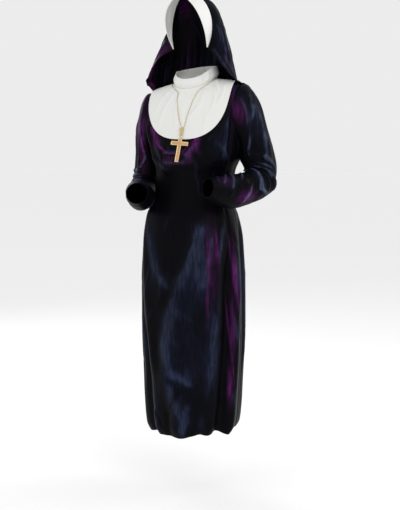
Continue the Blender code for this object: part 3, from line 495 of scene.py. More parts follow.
def link_to_shader(material, socket, node, output):
    shader = material.node_tree.nodes["Principled BSDF"]
    material.node_tree.links.new(node.outputs[output], shader.inputs[socket])


# Crushed velour has a deep black ground and a short nap. Its sheen is painted into the colour: a soft dark
# blue painted highlight on each ridge, and a painted purple sheen in patches a hand wide and in narrow lines
# along the folds.
NAP_MM = 1.6
CRUSH_MM = 16.0
PATCH_MM = 110.0
STREAK_MM = 7.0
STREAK_LENGTHENED = 7.0
PATCH_COVER = (0.45, 1.25)
STREAK_COVER = (0.35, 1.45)
NOISE_RANGE = (0.32, 0.68)
# The ground is the velour's own black; the other three colours are painted sheen and painted highlight.
VELOUR_GROUND_AND_PAINTED_SHEENS = {"ground": "#050508", "painted_navy_sheen": "#181D33", "painted_plum_sheen": "#561C5A", "glint": "#5A667C"}
MIX_UNDER, MIX_OVER, MIX_RESULT = 6, 7, 2


def uneven(material, noise, low, high):
    """A noise spread from a low share to a high one."""
    from_low, from_high = NOISE_RANGE
    spread = {"From_Min": from_low, "From_Max": from_high, "To_Min": low, "To_Max": high}
    return add_node(material, "ShaderNodeMapRange", [("Value", noise, "Fac")], **spread)


def product(material, first, first_output, second, second_output):
    times = add_node(material, "ShaderNodeMath", operation="MULTIPLY", use_clamp=False)
    material.node_tree.links.new(first.outputs[first_output], times.inputs[0])
    material.node_tree.links.new(second.outputs[second_output], times.inputs[1])
    return times


def painted_sheen_over(material, under, cover, attribute):
    """A colour node that lays a painted sheen colour over what is under it, as much as the attribute of its
    name says.
    """
    amount = add_node(material, "ShaderNodeAttribute", attribute_name=attribute)
    share = product(material, cover, "Value", amount, "Fac")
    share.use_clamp = True
    colour = add_node(material, "ShaderNodeMix", [("Factor", share, "Value")], data_type="RGBA")
    colour.inputs[MIX_OVER].default_value = srgb(VELOUR_GROUND_AND_PAINTED_SHEENS[attribute])
    if under is None:
        colour.inputs[MIX_UNDER].default_value = srgb(VELOUR_GROUND_AND_PAINTED_SHEENS["ground"])
    else:
        material.node_tree.links.new(under.outputs[MIX_RESULT], colour.inputs[MIX_UNDER])
    return colour


def crushed_velour():
    material = new_material(
        "crushed_velour",
        Roughness=0.46,
        Specular_IOR_Level=0.04,
        Sheen_Weight=0.015,
        Sheen_Roughness=0.30,
        Sheen_Tint=srgb("#9A9CC8"),
    )
    place = add_node(material, "ShaderNodeTexCoord")
    from_place = [("Vector", place, "Object")]
    patches = add_node(material, "ShaderNodeTexNoise", from_place, Scale=1000 / PATCH_MM, Detail=3.0)
    lengthened = add_node(material, "ShaderNodeMapping", from_place, Scale=(1.0, 1.0, 1 / STREAK_LENGTHENED))
    along = [("Vector", lengthened, "Vector")]
    streaks = add_node(material, "ShaderNodeTexNoise", along, Scale=1000 / STREAK_MM, Detail=3.0)
    patchy = uneven(material, patches, *PATCH_COVER)
    streaky = uneven(material, streaks, *STREAK_COVER)
    cover = product(material, patchy, "Result", streaky, "Result")
    # Painted sheen and painted highlight, laid over the black ground in three tints.
    painted_navy_sheen = painted_sheen_over(material, None, cover, "painted_navy_sheen")
    painted_plum_sheen = painted_sheen_over(material, painted_navy_sheen, cover, "painted_plum_sheen")
    glinting = painted_sheen_over(material, painted_plum_sheen, cover, "glint")
    link_to_shader(material, "Base Color", glinting, MIX_RESULT)
    crush = add_node(material, "ShaderNodeTexNoise", from_place, Scale=1000 / CRUSH_MM, Detail=2.0)
    nap = add_node(material, "ShaderNodeTexNoise", from_place, Scale=1000 / NAP_MM, Detail=2.0)
    low = add_node(material, "ShaderNodeBump", [("Height", crush, "Fac")], Strength=0.30, Distance=0.0012)
    over_low = [("Height", nap, "Fac"), ("Normal", low, "Normal")]
    high = add_node(material, "ShaderNodeBump", over_low, Strength=0.25, Distance=0.0003)
    link_to_shader(material, "Normal", high, "Normal")
    return material


velour = crushed_velour()


def spots(rows, across, along):
    """How strongly soft spots cover these places. Rows: across, along, half width, half length, strength."""
    cover = np.zeros(np.broadcast(across, along).shape)
    for spot_across, spot_along, wide, long, strength in rows.values():
        reach = ((across - spot_across) / wide) ** 2 + ((along - spot_along) / long) ** 2
        cover = cover + strength * np.exp(-reach)
    return np.clip(cover, 0.0, 1.0)


# Painted highlight: the dark blue sheen is painted heaviest on each ridge, full at this lift.
RIDGE_SHINE_LIFT = 0.0045
RIDGE_SHINE = 0.75
SPOT_SHINE = 0.6

# Painted highlight: the tops of the sharpest ridges are painted grey-blue, above this share of the full
# painted shine.
GLINT_FROM = 0.45
GLINTS = {"dress": 0.08, "sleeve": 0.50, "veil": 0.12}


def glint(lift, strength):
    return strength * np.clip((lift / RIDGE_SHINE_LIFT - GLINT_FROM) / (1.0 - GLINT_FROM), 0.0, 1.0)


def shine(spot_cover, lift):
    on_ridge = RIDGE_SHINE * np.clip(lift / RIDGE_SHINE_LIFT, 0.0, 1.0)
    return np.clip(spot_cover * SPOT_SHINE + on_ridge, 0.0, 1.0)


# Painted purple sheen on the dress, in soft spots.
DRESS_PAINTED_PLUM_SHEEN = {
    "chest_under_cross": (-0.262, 0.262, 0.0220, 0.008, 0.4),
    "waist_right": (-0.300, 0.306, 0.0300, 0.008, 0.3),
    "waist_middle": (-0.235, 0.300, 0.0140, 0.010, 0.4),
    "chest_right": (-0.335, 0.205, 0.0144, 0.027, 0.8),
    "chest_diagonal": (-0.204, 0.215, 0.0090, 0.034, 1.0),
    "chest_diagonal_low": (-0.226, 0.265, 0.0066, 0.027, 0.8),
    "under_bib": (-0.290, 0.285, 0.0240, 0.011, 0.4),
    "armpit_right": (-0.368, 0.170, 0.0060, 0.072, 0.6),
    "front_line": (-0.150, 0.650, 0.0048, 0.072, 0.9),
    "front_line_left": (-0.118, 0.600, 0.0048, 0.054, 0.7),
    "front_line_low": (-0.155, 0.790, 0.0060, 0.054, 0.5),
    "front_sheen": (-0.135, 0.650, 0.0180, 0.099, 0.25),
    "side_ridge_high": (-0.038, 0.680, 0.0042, 0.081, 0.9),
    "side_ridge": (-0.020, 0.790, 0.0042, 0.063, 0.7),
    "side_low": (-0.050, 0.880, 0.0048, 0.081, 0.7),
    "side_hem": (-0.060, 1.080, 0.0048, 0.054, 0.8),
    "left_top": (-0.060, 0.140, 0.0180, 0.054, 0.4),
    "right_side": (-0.450, 0.750, 0.0120, 0.225, 0.5),
    "back_left": (0.110, 0.700, 0.0180, 0.180, 0.3),
    "back_middle": (0.235, 0.560, 0.0180, 0.108, 0.25),
    "back_right": (0.350, 0.820, 0.0180, 0.162, 0.3),
    "back_waist": (0.250, 0.360, 0.0360, 0.027, 0.4),
    "back_hem": (0.260, 1.120, 0.0360, 0.081, 0.15),
}

# Painted purple sheen lines along the folds of the chest and skirt, rows in the folds' form with a strength
# for the height.
DRESS_PAINTED_PLUM_SHEEN_LINES = {
    "chest_diagonal": (-0.190, 0.172, -0.232, 0.275, 0.010, 0.95, 0.03),
    "chest_diagonal_inner": (-0.208, 0.190, -0.250, 0.262, 0.006, 0.8, 0.03),
    "bib_edge_right": (-0.352, 0.170, -0.325, 0.245, 0.010, 1.1, 0.03),
    "bib_edge_curl": (-0.330, 0.236, -0.290, 0.262, 0.007, 0.9, 0.02),
    "under_bib": (-0.312, 0.262, -0.262, 0.257, 0.006, 0.5, 0.03),
    "waist_roll": (-0.300, 0.308, -0.245, 0.304, 0.006, 0.45, 0.03),
    "armpit_right": (-0.362, 0.140, -0.366, 0.260, 0.007, 0.9, 0.04),
    "skirt_slit_line": (-0.052, 0.560, -0.030, 0.820, 0.005, 0.7, 0.08),
    "skirt_low_line": (-0.064, 0.800, -0.046, 1.080, 0.004, 0.6, 0.10),
}

# Painted dark blue sheen on the dress, in soft spots; the ridges add a painted highlight to it.
DRESS_PAINTED_NAVY_SHEEN = {
    "hip_sheen": (-0.178, 0.650, 0.036, 0.110, 0.6),
    "hip_sheen_low": (-0.215, 0.800, 0.030, 0.130, 0.5),
    "thigh_sheen": (-0.200, 0.980, 0.050, 0.150, 0.4),
    "right_line": (-0.335, 0.620, 0.014, 0.110, 0.7),
    "left_long": (-0.140, 0.930, 0.030, 0.180, 0.6),
    "knee_pull": (-0.236, 1.050, 0.030, 0.022, 1.0),
    "hem_patch": (-0.226, 1.185, 0.014, 0.032, 1.0),
    "hem_patch_left": (-0.175, 1.205, 0.014, 0.030, 0.8),
    "chest_left": (-0.120, 0.240, 0.040, 0.060, 0.5),
    "chest_middle": (-0.250, 0.240, 0.030, 0.040, 0.4),
    "left_shoulder": (-0.040, 0.130, 0.030, 0.050, 0.6),
    "side_edge": (-0.005, 0.700, 0.014, 0.300, 0.5),
    "back_left": (0.070, 0.780, 0.040, 0.200, 0.8),
    "back_middle": (0.240, 0.700, 0.050, 0.180, 0.8),
    "back_right": (0.400, 0.740, 0.040, 0.200, 0.8),
    "back_shoulders": (0.240, 0.200, 0.160, 0.060, 0.5),
    "back_hem": (0.160, 1.130, 0.060, 0.060, 0.7),
}

PANEL_COLUMNS = 168
PANEL_ROWS = 250
PANEL_SPANS = {"front": (-math.pi, 0.0), "back": (0.0, math.pi)}
PANEL_CUTS = {"front": (0.56, 1.29, 0.585), "back": (0.54, 1.29, 0.568)}
ARMHOLE_TRIM = 0.004
ARMHOLE_SEARCH = 0.12

SLEEVE_COLUMNS = ("run", "x", "y", "z", "deep", "wide", "face_x", "face_y", "face_z")
LEFT_SLEEVE = Table(
    SLEEVE_COLUMNS,
    {
        "inside": (0.000, 0.110, 0.012, -0.100, 0.070, 0.094, 1.00, 0.00, -0.05),
        "armhole": (0.055, 0.165, 0.012, -0.100, 0.068, 0.102, 1.00, 0.00, -0.12),
        "cap": (0.090, 0.190, 0.014, -0.125, 0.063, 0.085, 0.93, 0.00, -0.37),
        "shoulder": (0.128, 0.202, 0.017, -0.161, 0.059, 0.071, 0.82, 0.02, -0.57),
        "upper_arm": (0.162, 0.209, 0.021, -0.194, 0.056, 0.063, 0.66, 0.06, -0.75),
        "above_elbow": (0.203, 0.217, 0.029, -0.233, 0.055, 0.059, 0.36, 0.08, -0.93),
        "elbow_top": (0.251, 0.228, 0.035, -0.279, 0.056, 0.055, 0.10, -0.10, -0.99),
        "elbow": (0.300, 0.231, 0.013, -0.321, 0.056, 0.052, -0.25, -0.70, -0.66),
        "below_elbow": (0.346, 0.211, -0.027, -0.340, 0.056, 0.049, -0.52, -0.83, -0.18),
        "forearm": (0.414, 0.173, -0.082, -0.353, 0.061, 0.044, -0.56, -0.83, 0.00),
        "wrist": (0.480, 0.138, -0.138, -0.346, 0.046, 0.038, -0.55, -0.82, 0.12),
        "cuff": (0.520, 0.117, -0.171, -0.338, 0.032, 0.033, -0.56, -0.82, 0.12),
    },
)
RIGHT_SLEEVE = Table(
    SLEEVE_COLUMNS,
    {
        "inside": (0.000, -0.105, 0.012, -0.118, 0.068, 0.088, -1.00, 0.00, -0.05),
        "armhole": (0.050, -0.155, 0.012, -0.121, 0.066, 0.097, -1.00, 0.00, -0.15),
        "cap": (0.070, -0.171, 0.014, -0.134, 0.061, 0.083, -0.97, 0.00, -0.25),
        "shoulder": (0.100, -0.177, 0.017, -0.163, 0.056, 0.068, -0.90, 0.02, -0.40),
        "upper_arm": (0.134, -0.179, 0.021, -0.196, 0.053, 0.053, -0.78, 0.06, -0.62),
        "above_elbow": (0.183, -0.180, 0.030, -0.244, 0.050, 0.046, -0.40, 0.08, -0.91),
        "elbow_top": (0.243, -0.186, 0.038, -0.305, 0.052, 0.045, -0.08, -0.12, -0.99),
        "elbow": (0.293, -0.188, 0.016, -0.350, 0.056, 0.046, 0.08, -0.75, -0.66),
        "below_elbow": (0.347, -0.178, -0.034, -0.371, 0.054, 0.045, 0.25, -0.95, -0.15),
        "forearm": (0.417, -0.158, -0.100, -0.373, 0.052, 0.043, 0.34, -0.93, 0.05),
        "wrist": (0.477, -0.140, -0.156, -0.366, 0.044, 0.040, 0.36, -0.92, 0.14),
        "cuff": (0.517, -0.127, -0.192, -0.360, 0.035, 0.036, 0.37, -0.91, 0.14),
    },
)
SLEEVE_MEAN_RADIUS = 0.054
# Across is metres round the sleeve: 0 at the front of the armhole and the top of the forearm, 0.085 outside.
LEFT_SLEEVE_FOLDS = {
    "cap_fan_front": (0.055, 0.090, 0.020, 0.180, 0.018, 0.004, 0.04),
    "cap_fan_outer": (0.085, 0.100, 0.050, 0.250, 0.018, 0.005, 0.05),
    "elbow_upper": (0.000, 0.262, 0.120, 0.300, 0.014, 0.005, 0.04),
    "elbow_lower": (0.000, 0.286, 0.110, 0.330, 0.014, 0.005, 0.04),
    "elbow_trough": (0.000, 0.274, 0.105, 0.314, 0.010, -0.005, 0.04),
    "forearm_diagonal": (0.010, 0.320, 0.110, 0.345, 0.014, 0.004, 0.04),
    "forearm_drop": (0.000, 0.400, 0.085, 0.380, 0.016, 0.004, 0.04),
    "wrist_drop": (0.000, 0.440, 0.080, 0.452, 0.012, 0.004, 0.03),
    "inner_elbow": (-0.110, 0.290, -0.040, 0.300, 0.016, -0.006, 0.03),
}
RIGHT_SLEEVE_FOLDS = {
    "front_drop": (-0.010, 0.090, -0.020, 0.250, 0.018, 0.005, 0.05),
    "outer_drop": (-0.060, 0.110, -0.055, 0.260, 0.018, 0.005, 0.05),
    "elbow_upper": (-0.120, 0.262, 0.000, 0.250, 0.014, 0.005, 0.04),
    "elbow_lower": (-0.115, 0.310, 0.000, 0.300, 0.014, 0.005, 0.04),
    "elbow_trough": (-0.120, 0.286, 0.000, 0.275, 0.012, -0.006, 0.04),
    "forearm_drop": (-0.100, 0.390, 0.010, 0.400, 0.016, 0.004, 0.04),
    "inner_elbow": (0.040, 0.300, 0.110, 0.290, 0.016, -0.006, 0.03),
}
SLEEVE_STATIONS = 120
SLEEVE_OVERRUN = 0.03


def sleeve_skin(table, folds):
    """The outside of a sleeve, as a function of the angle round it and the run down it."""
    stations = np.linspace(table.run[0] - SLEEVE_OVERRUN, table.last + SLEEVE_OVERRUN, SLEEVE_STATIONS)
    size = table.read(stations)
    line = np.stack([size["x"], size["y"], size["z"]], axis=-1)
    heading = np.stack([size["face_x"], size["face_y"], size["face_z"]], axis=-1)
    heading /= np.linalg.norm(heading, axis=1, keepdims=True)
    side = np.array([0.0, -1.0, 0.0])
    sides = []
    for way in heading:
        side = side - way * (side @ way)
        side = side / np.linalg.norm(side)
        sides.append(side)
    sides = np.array(sides)
    ups = np.cross(sides, heading)

    def at(values, run):
        return np.stack([np.interp(run, stations, values[:, i]) for i in range(3)], axis=-1)

    def bare(angle, run):
        angle, run = np.broadcast_arrays(angle, run)
        here = table.read(run)
        beside = (np.cos(angle) * here["deep"])[..., None]
        above = (np.sin(angle) * here["wide"])[..., None]
        return at(line, run) + at(sides, run) * beside + at(ups, run) * above

    def skin(angle, run, out=0.0):
        around = (angle + math.pi) % FULL_TURN - math.pi
        lift = fold_height(folds, around * SLEEVE_MEAN_RADIUS, run) + out
        return bare(angle, run) + normals_of(bare, angle, run) * lift[..., None]

    return skin


left_sleeve = sleeve_skin(LEFT_SLEEVE, LEFT_SLEEVE_FOLDS)
right_sleeve = sleeve_skin(RIGHT_SLEEVE, RIGHT_SLEEVE_FOLDS)


def skin_tree(points):
    """A search tree over a skin's rows of points, its normals outwards."""
    rows, columns = points.shape[:2]
    faces = []
    for i in range(rows - 1):
        for j in range(columns - 1):
            corner = i * columns + j
            faces.append((corner, corner + columns, corner + columns + 1, corner + 1))
    return BVHTree.FromPolygons([tuple(p) for p in points.reshape(-1, 3)], faces)


def height_over(tree, point, search=0.2):
    """How far outside the skin a point lies, below nought if inside, or None where none is near."""
    near, normal, _, _ = tree.find_nearest(Vector(point), search)
    return None if near is None else (Vector(point) - near).dot(normal)


ARM_ANGLES = np.linspace(-math.pi, math.pi, 49)
ARM_TOP_RUNS = np.linspace(-0.03, 0.16, 40)
arm_trees = [skin_tree(skin(*np.meshgrid(ARM_ANGLES, ARM_TOP_RUNS))) for skin in (left_sleeve, right_sleeve)]


def open_armholes(piece):
    """Cuts the panel away inside the two armholes, a little in from the sleeve's seam."""
    inside = set()
    for vertex in piece.data.vertices:
        for tree in arm_trees:
            height = height_over(tree, vertex.co, ARMHOLE_SEARCH)
            if height is not None and height < -ARMHOLE_TRIM and vertex.co.z < 0.0:
                inside.add(vertex.index)
    bpy.ops.object.mode_set(mode="EDIT")
    bpy.ops.mesh.select_mode(type="VERT")
    bpy.ops.mesh.select_all(action="DESELECT")
    bpy.ops.object.mode_set(mode="OBJECT")
    for index in inside:
        piece.data.vertices[index].select = True
    bpy.ops.object.mode_set(mode="EDIT")
    bpy.ops.mesh.delete(type="VERT")
    bpy.ops.object.mode_set(mode="OBJECT")


for side, (first, last) in PANEL_SPANS.items():
    turns = np.linspace(first, last, PANEL_COLUMNS)
    angles, runs = np.meshgrid(turns, np.linspace(0.0, DRESS.last, PANEL_ROWS))
    panel = cloth_from_rows(f"velour_panel_{side}", creased_dress(angles, runs))
    across = angles * DRESS_MEAN_RADIUS
    around = (angles + math.pi) % FULL_TURN - math.pi
    painted_plum_sheen_lines = fold_height(DRESS_PAINTED_PLUM_SHEEN_LINES, around * DRESS_MEAN_RADIUS, runs)
    crease_lift = dress_crease_lift(angles, runs)
    # Painted sheen and painted highlight, carried to the velour's colour as attributes.
    add_attribute(panel, "painted_plum_sheen", np.clip(spots(DRESS_PAINTED_PLUM_SHEEN, across, runs) + painted_plum_sheen_lines, 0.0, 1.0)[::-1])
    add_attribute(panel, "glint", glint(crease_lift, GLINTS["dress"])[::-1])
    add_attribute(panel, "painted_navy_sheen", shine(spots(DRESS_PAINTED_NAVY_SHEEN, across, runs), crease_lift)[::-1])
    open_armholes(panel)
    add_wall(panel, DRESS_WALL)
    panel.data.materials.append(velour)
    width, length, area = PANEL_CUTS[side]
    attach(panel, "garment")
    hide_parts(f"dress_{side}")

# The sleeves: long, set in with a little fullness at the cap, bent at the elbow, where the velour crowds into
# rolls, and narrowed to the cuff, which is turned in and stitched.

SLEEVE_COLUMNS_ROUND = 97
SLEEVE_ROWS = 190
CUFF_TURNING = 0.020
LEFT_SLEEVE_CREASES = {
    "cap_fan_inner": (0.0344, 0.063, 0.0100, 0.120, 0.010, 0.0035, 0.03),
    "cap_fan_first": (0.0613, 0.075, 0.0250, 0.110, 0.009, 0.0035, 0.02),
    "cap_fan_second": (0.0537, 0.096, 0.0287, 0.118, 0.010, 0.0040, 0.02),
    "cap_fan_drop": (0.0287, 0.112, -0.0100, 0.180, 0.012, 0.0040, 0.03),
    "cap_fan_shadow": (0.0420, 0.084, 0.0100, 0.150, 0.008, -0.0030, 0.03),
    "outer_highlight": (0.0620, 0.110, 0.0560, 0.175, 0.014, 0.0035, 0.04),
    "outer_highlight_low": (0.0560, 0.165, 0.0400, 0.235, 0.014, 0.0035, 0.03),
    "outer_shadow": (0.0380, 0.150, 0.0200, 0.240, 0.011, -0.0030, 0.04),
    "elbow_first": (0.0300, 0.212, 0.0800, 0.266, 0.010, 0.0050, 0.02),
    "elbow_first_dip": (0.0200, 0.222, 0.0780, 0.272, 0.007, -0.0040, 0.02),
    "elbow_second": (0.0100, 0.232, 0.0720, 0.266, 0.009, 0.0045, 0.02),
    "elbow_third": (-0.0050, 0.244, 0.0600, 0.290, 0.010, 0.0050, 0.02),
    "elbow_third_dip": (-0.0080, 0.258, 0.0600, 0.303, 0.008, -0.0045, 0.02),
    "elbow_tip": (0.0750, 0.285, 0.1350, 0.300, 0.012, 0.0040, 0.03),
    "elbow_long": (-0.0300, 0.318, 0.0660, 0.340, 0.010, 0.0055, 0.03),
    "elbow_long_dip": (-0.0350, 0.300, 0.0600, 0.322, 0.009, -0.0045, 0.03),
    "elbow_long_turn": (0.0600, 0.342, 0.0950, 0.322, 0.010, 0.0045, 0.02),
    "forearm_short": (-0.0259, 0.386, 0.0250, 0.410, 0.009, 0.0040, 0.02),
    "forearm_under": (0.0480, 0.372, 0.1050, 0.402, 0.010, 0.0045, 0.03),
    "forearm_under_dip": (0.0420, 0.388, 0.1000, 0.418, 0.008, -0.0035, 0.03),
    "wrist_first": (-0.0200, 0.438, 0.0580, 0.452, 0.009, 0.0040, 0.02),
    "wrist_second": (-0.0280, 0.455, 0.0400, 0.484, 0.008, 0.0035, 0.02),
    "wrist_dip": (-0.0240, 0.447, 0.0480, 0.468, 0.006, -0.0030, 0.02),
    "cuff_pull": (-0.0280, 0.490, 0.0269, 0.500, 0.007, 0.0025, 0.02),
    "inside_roll": (-0.1300, 0.255, -0.0500, 0.262, 0.010, 0.0050, 0.03),
    "inside_dip": (-0.1250, 0.276, -0.0450, 0.284, 0.008, -0.0050, 0.03),
    "inside_low_roll": (-0.1200, 0.316, -0.0400, 0.318, 0.010, 0.0045, 0.03),
    "under_arm_drop": (-0.0900, 0.120, -0.0850, 0.220, 0.012, 0.0035, 0.04),
    "back_arm_drop": (0.1350, 0.110, 0.1300, 0.230, 0.014, 0.0035, 0.04),
    "back_elbow_pull": (0.1200, 0.215, 0.1550, 0.280, 0.012, 0.0040, 0.03),
}
RIGHT_SLEEVE_CREASES = {
    "front_drop_high": (-0.0200, 0.060, 0.0080, 0.135, 0.010, 0.0040, 0.03),
    "front_drop_low": (0.0080, 0.125, 0.0170, 0.182, 0.010, 0.0040, 0.02),
    "front_drop_turn": (0.0160, 0.175, -0.0120, 0.225, 0.010, 0.0045, 0.02),
    "front_shadow": (-0.0060, 0.070, 0.0240, 0.150, 0.008, -0.0035, 0.03),
    "outer_line": (-0.0580, 0.110, -0.0410, 0.190, 0.011, 0.0035, 0.03),
    "outer_line_low": (-0.0620, 0.160, -0.0700, 0.235, 0.012, -0.0030, 0.03),
    "elbow_roll_high": (-0.1300, 0.240, -0.0100, 0.234, 0.010, 0.0045, 0.03),
    "elbow_roll": (-0.1250, 0.268, 0.0000, 0.262, 0.010, 0.0050, 0.03),
    "elbow_dip": (-0.1250, 0.281, 0.0000, 0.276, 0.008, -0.0045, 0.03),
    "elbow_roll_low": (-0.1200, 0.320, 0.0100, 0.318, 0.010, 0.0045, 0.03),
    "forearm_line": (-0.0880, 0.340, 0.0100, 0.372, 0.010, 0.0040, 0.03),
    "forearm_line_low": (-0.0900, 0.400, 0.0200, 0.420, 0.010, 0.0040, 0.03),
    "forearm_dip": (-0.0900, 0.385, 0.0150, 0.402, 0.008, -0.0035, 0.03),
    "wrist_line": (-0.0700, 0.450, 0.0300, 0.464, 0.009, 0.0035, 0.02),
    "under_forearm": (0.0900, 0.360, 0.1500, 0.440, 0.012, 0.0040, 0.03),
    "back_arm_drop": (-0.1350, 0.110, -0.1350, 0.220, 0.014, 0.0035, 0.04),
    "inside_roll": (0.0500, 0.262, 0.1200, 0.256, 0.010, 0.0045, 0.03),
}
# Painted purple sheen on the sleeves, in soft spots.
SLEEVE_PAINTED_PLUM_SHEEN = {
    "left": {
        "cap": (0.010, 0.066, 0.0143, 0.030, 0.8),
        "elbow_under": (0.085, 0.390, 0.0195, 0.025, 0.7),
        "wrist": (0.020, 0.470, 0.0228, 0.021, 0.3),
        "back": (0.140, 0.180, 0.0195, 0.060, 0.4),
    },
    "right": {
        "front": (0.004, 0.130, 0.0130, 0.076, 1.0),
        "outer": (-0.040, 0.100, 0.0195, 0.051, 0.7),
        "forearm": (-0.050, 0.360, 0.0325, 0.043, 0.4),
        "cuff": (0.000, 0.460, 0.0390, 0.025, 0.3),
    },
}
# Painted dark blue sheen on the sleeves, in soft spots; the ridges add a painted highlight to it.
SLEEVE_PAINTED_NAVY_SHEEN = {
    "left": {
        "outer": (0.060, 0.150, 0.022, 0.070, 1.0),
        "fan": (0.030, 0.110, 0.018, 0.040, 0.8),
        "elbow": (0.050, 0.260, 0.040, 0.030, 0.9),
        "long_fold": (0.020, 0.330, 0.050, 0.016, 0.9),
        "wrist": (0.010, 0.460, 0.040, 0.030, 0.6),
        "back": (0.150, 0.250, 0.030, 0.090, 0.6),
    },
    "right": {
        "outer": (-0.070, 0.170, 0.022, 0.080, 0.8),
        "elbow": (-0.070, 0.270, 0.050, 0.030, 0.8),
        "forearm": (-0.030, 0.420, 0.060, 0.050, 0.6),
        "back": (-0.150, 0.200, 0.030, 0.090, 0.6),
    },
}
SLEEVE_CUT = (0.45, 0.49, 0.170)
CAP_EASE = 0.0016
CAP_EASE_RUN = 0.012
START_SUNK = 0.0020
START_SEARCH = np.arange(0.0, 0.16, 0.001)
SLEEVE_END_FADE = 0.02
SLEEVE_SMALL_CREASES = {
    "count": 46,
    "across_span": (-0.16, 0.16),
    "along_span": (0.06, 0.48),
    "slope": 1.2,
    "size": 0.6,
}

BODY_ANGLES = np.linspace(-math.pi, math.pi, 181)
BODY_RUNS = np.linspace(0.0, 0.60, 121)
body_tree = skin_tree(creased_dress(*np.meshgrid(BODY_ANGLES, BODY_RUNS)))


def sleeve_starts(skin, angles):
    """The run at which each line down the sleeve comes out of the body."""
    starts = []
    for angle in angles:
        line = skin(np.full(len(START_SEARCH), angle), START_SEARCH)
        inside = [height_over(body_tree, point) for point in line]
        hidden = [run for run, height in zip(START_SEARCH, inside) if height is not None and height < 0.0]
        starts.append(max(hidden, default=0.0) - START_SUNK)
    return np.array(starts)


for side, skin, table, creases, seed in (
    ("left", left_sleeve, LEFT_SLEEVE, LEFT_SLEEVE_CREASES, 21),
    ("right", right_sleeve, RIGHT_SLEEVE, RIGHT_SLEEVE_CREASES, 34),
):
    turns = np.linspace(-math.pi, math.pi, SLEEVE_COLUMNS_ROUND)
    starts = sleeve_starts(skin, turns)
    down = np.linspace(0.0, 1.0, SLEEVE_ROWS)[:, None]
    runs = starts[None, :] + (table.last - starts[None, :]) * down
    angles = np.broadcast_to(turns, runs.shape)
    across = angles * SLEEVE_MEAN_RADIUS
    small = scattered_creases(seed, **SLEEVE_SMALL_CREASES)
    lift = fold_height(creases, across, runs) + fold_height(small, across, runs)
    ends = smooth_step((runs - starts) / SLEEVE_END_FADE) * smooth_step((table.last - runs) / SLEEVE_END_FADE)
    lift = lift * ends
    # Painted sheen and painted highlight for the velour's colour.
    sleeve_shine = shine(spots(SLEEVE_PAINTED_NAVY_SHEEN[side], across, runs), lift)
    sleeve_glint = glint(lift, GLINTS["sleeve"])
    lift = lift - CAP_EASE * np.exp(-(((runs - starts) / CAP_EASE_RUN) ** 2))
    lift = lift + seam_groove(table.last - CUFF_TURNING - runs, HEM_STITCH_HALF_WIDTH, HEM_STITCH_DEPTH)
    sleeve = cloth_from_rows(f"velour_sleeve_{side}", skin(angles, runs, lift))
    add_attribute(sleeve, "painted_plum_sheen", spots(SLEEVE_PAINTED_PLUM_SHEEN[side], across, runs)[::-1])
    add_attribute(sleeve, "painted_navy_sheen", sleeve_shine[::-1])
    add_attribute(sleeve, "glint", sleeve_glint[::-1])
    merge_doubles(sleeve)
    add_wall(sleeve, DRESS_WALL)
    sleeve.data.materials.append(velour)
    width, length, area = SLEEVE_CUT
    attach(sleeve, "garment")
    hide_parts(f"sleeve_{side}")

# The bib: white cotton in two halves, a deep U in front and a shallow one behind, sewn at the shoulders and
# laid over the dress. Its edge is turned under narrowly and it creases from the neck.

BIB_WALL = 0.0014
BIB_HALF_WIDTH = 0.149
BIB_DROPS = {"front": 0.182, "back": 0.100}
BIB_ROUNDNESS = 2.6
BIB_OUT = LAY_GAP + BIB_WALL

BIB_CREASES = {
    "right_neck_drop": (-0.3192, 0.010, -0.3219, 0.120, 0.0104, 0.0044, 0.04),
    "right_edge_drop": (-0.3679, 0.025, -0.3557, 0.090, 0.0080, 0.0032, 0.03),
    "right_middle_drop": (-0.2841, 0.008, -0.2611, 0.135, 0.0096, 0.0036, 0.05),
    "middle_drop": (-0.2480, 0.060, -0.2380, 0.170, 0.0096, 0.0024, 0.05),
    "left_neck_diagonal": (-0.1420, 0.014, -0.2259, 0.092, 0.0104, 0.0052, 0.04),
    "left_second_diagonal": (-0.1001, 0.034, -0.1610, 0.100, 0.0096, 0.0048, 0.04),
    "left_edge_diagonal": (-0.0555, 0.050, -0.1353, 0.094, 0.0096, 0.0040, 0.03),
    "left_low_drop": (-0.1750, 0.100, -0.1850, 0.175, 0.0096, 0.0028, 0.05),
    "left_shoulder_roll": (-0.0400, 0.016, -0.0950, 0.050, 0.0096, 0.0040, 0.03),
    "back_left_drop": (0.1500, 0.012, 0.1700, 0.080, 0.0096, 0.0020, 0.04),
    "back_right_drop": (0.3300, 0.012, 0.3100, 0.080, 0.0096, 0.0020, 0.04),
}
BIB_COLUMNS = 150
BIB_ROWS = 60
BIB_SEARCH = np.linspace(0.0, 0.34, 341)
BIB_TURNING = 0.007
BIB_TURNING_RISE = 0.0005
BIB_TURNING_FADE = 0.002
BIB_DEEPEST_DIP = 0.0004
BIB_CREASES_FADE_IN = 0.02
NECK_SEAM_RUN = 0.003
NECK_SEAM_DEPTH = 0.0006
NECK_SEAM_HALF_WIDTH = 0.0022
BIB_CUTS = {"front": (0.34, 0.25, 0.058), "back": (0.33, 0.20, 0.043)}


def bib_ends(angles, drop):
    """The run at which the bib's edge crosses each line down from the neck."""
    ends = []
    for angle in angles:
        x, _, z = dress(np.full(len(BIB_SEARCH), angle), BIB_SEARCH, BIB_OUT).T
        within = (np.abs(x) / BIB_HALF_WIDTH) ** BIB_ROUNDNESS
        within = within + (np.clip(-z, 0.0, None) / drop) ** BIB_ROUNDNESS
        crossing = int(np.argmax(within >= 1.0))
        before, after = within[crossing - 1], within[crossing]
        part = (1.0 - before) / (after - before)
        ends.append(BIB_SEARCH[crossing - 1] + part * (BIB_SEARCH[1] - BIB_SEARCH[0]))
    return np.array(ends)


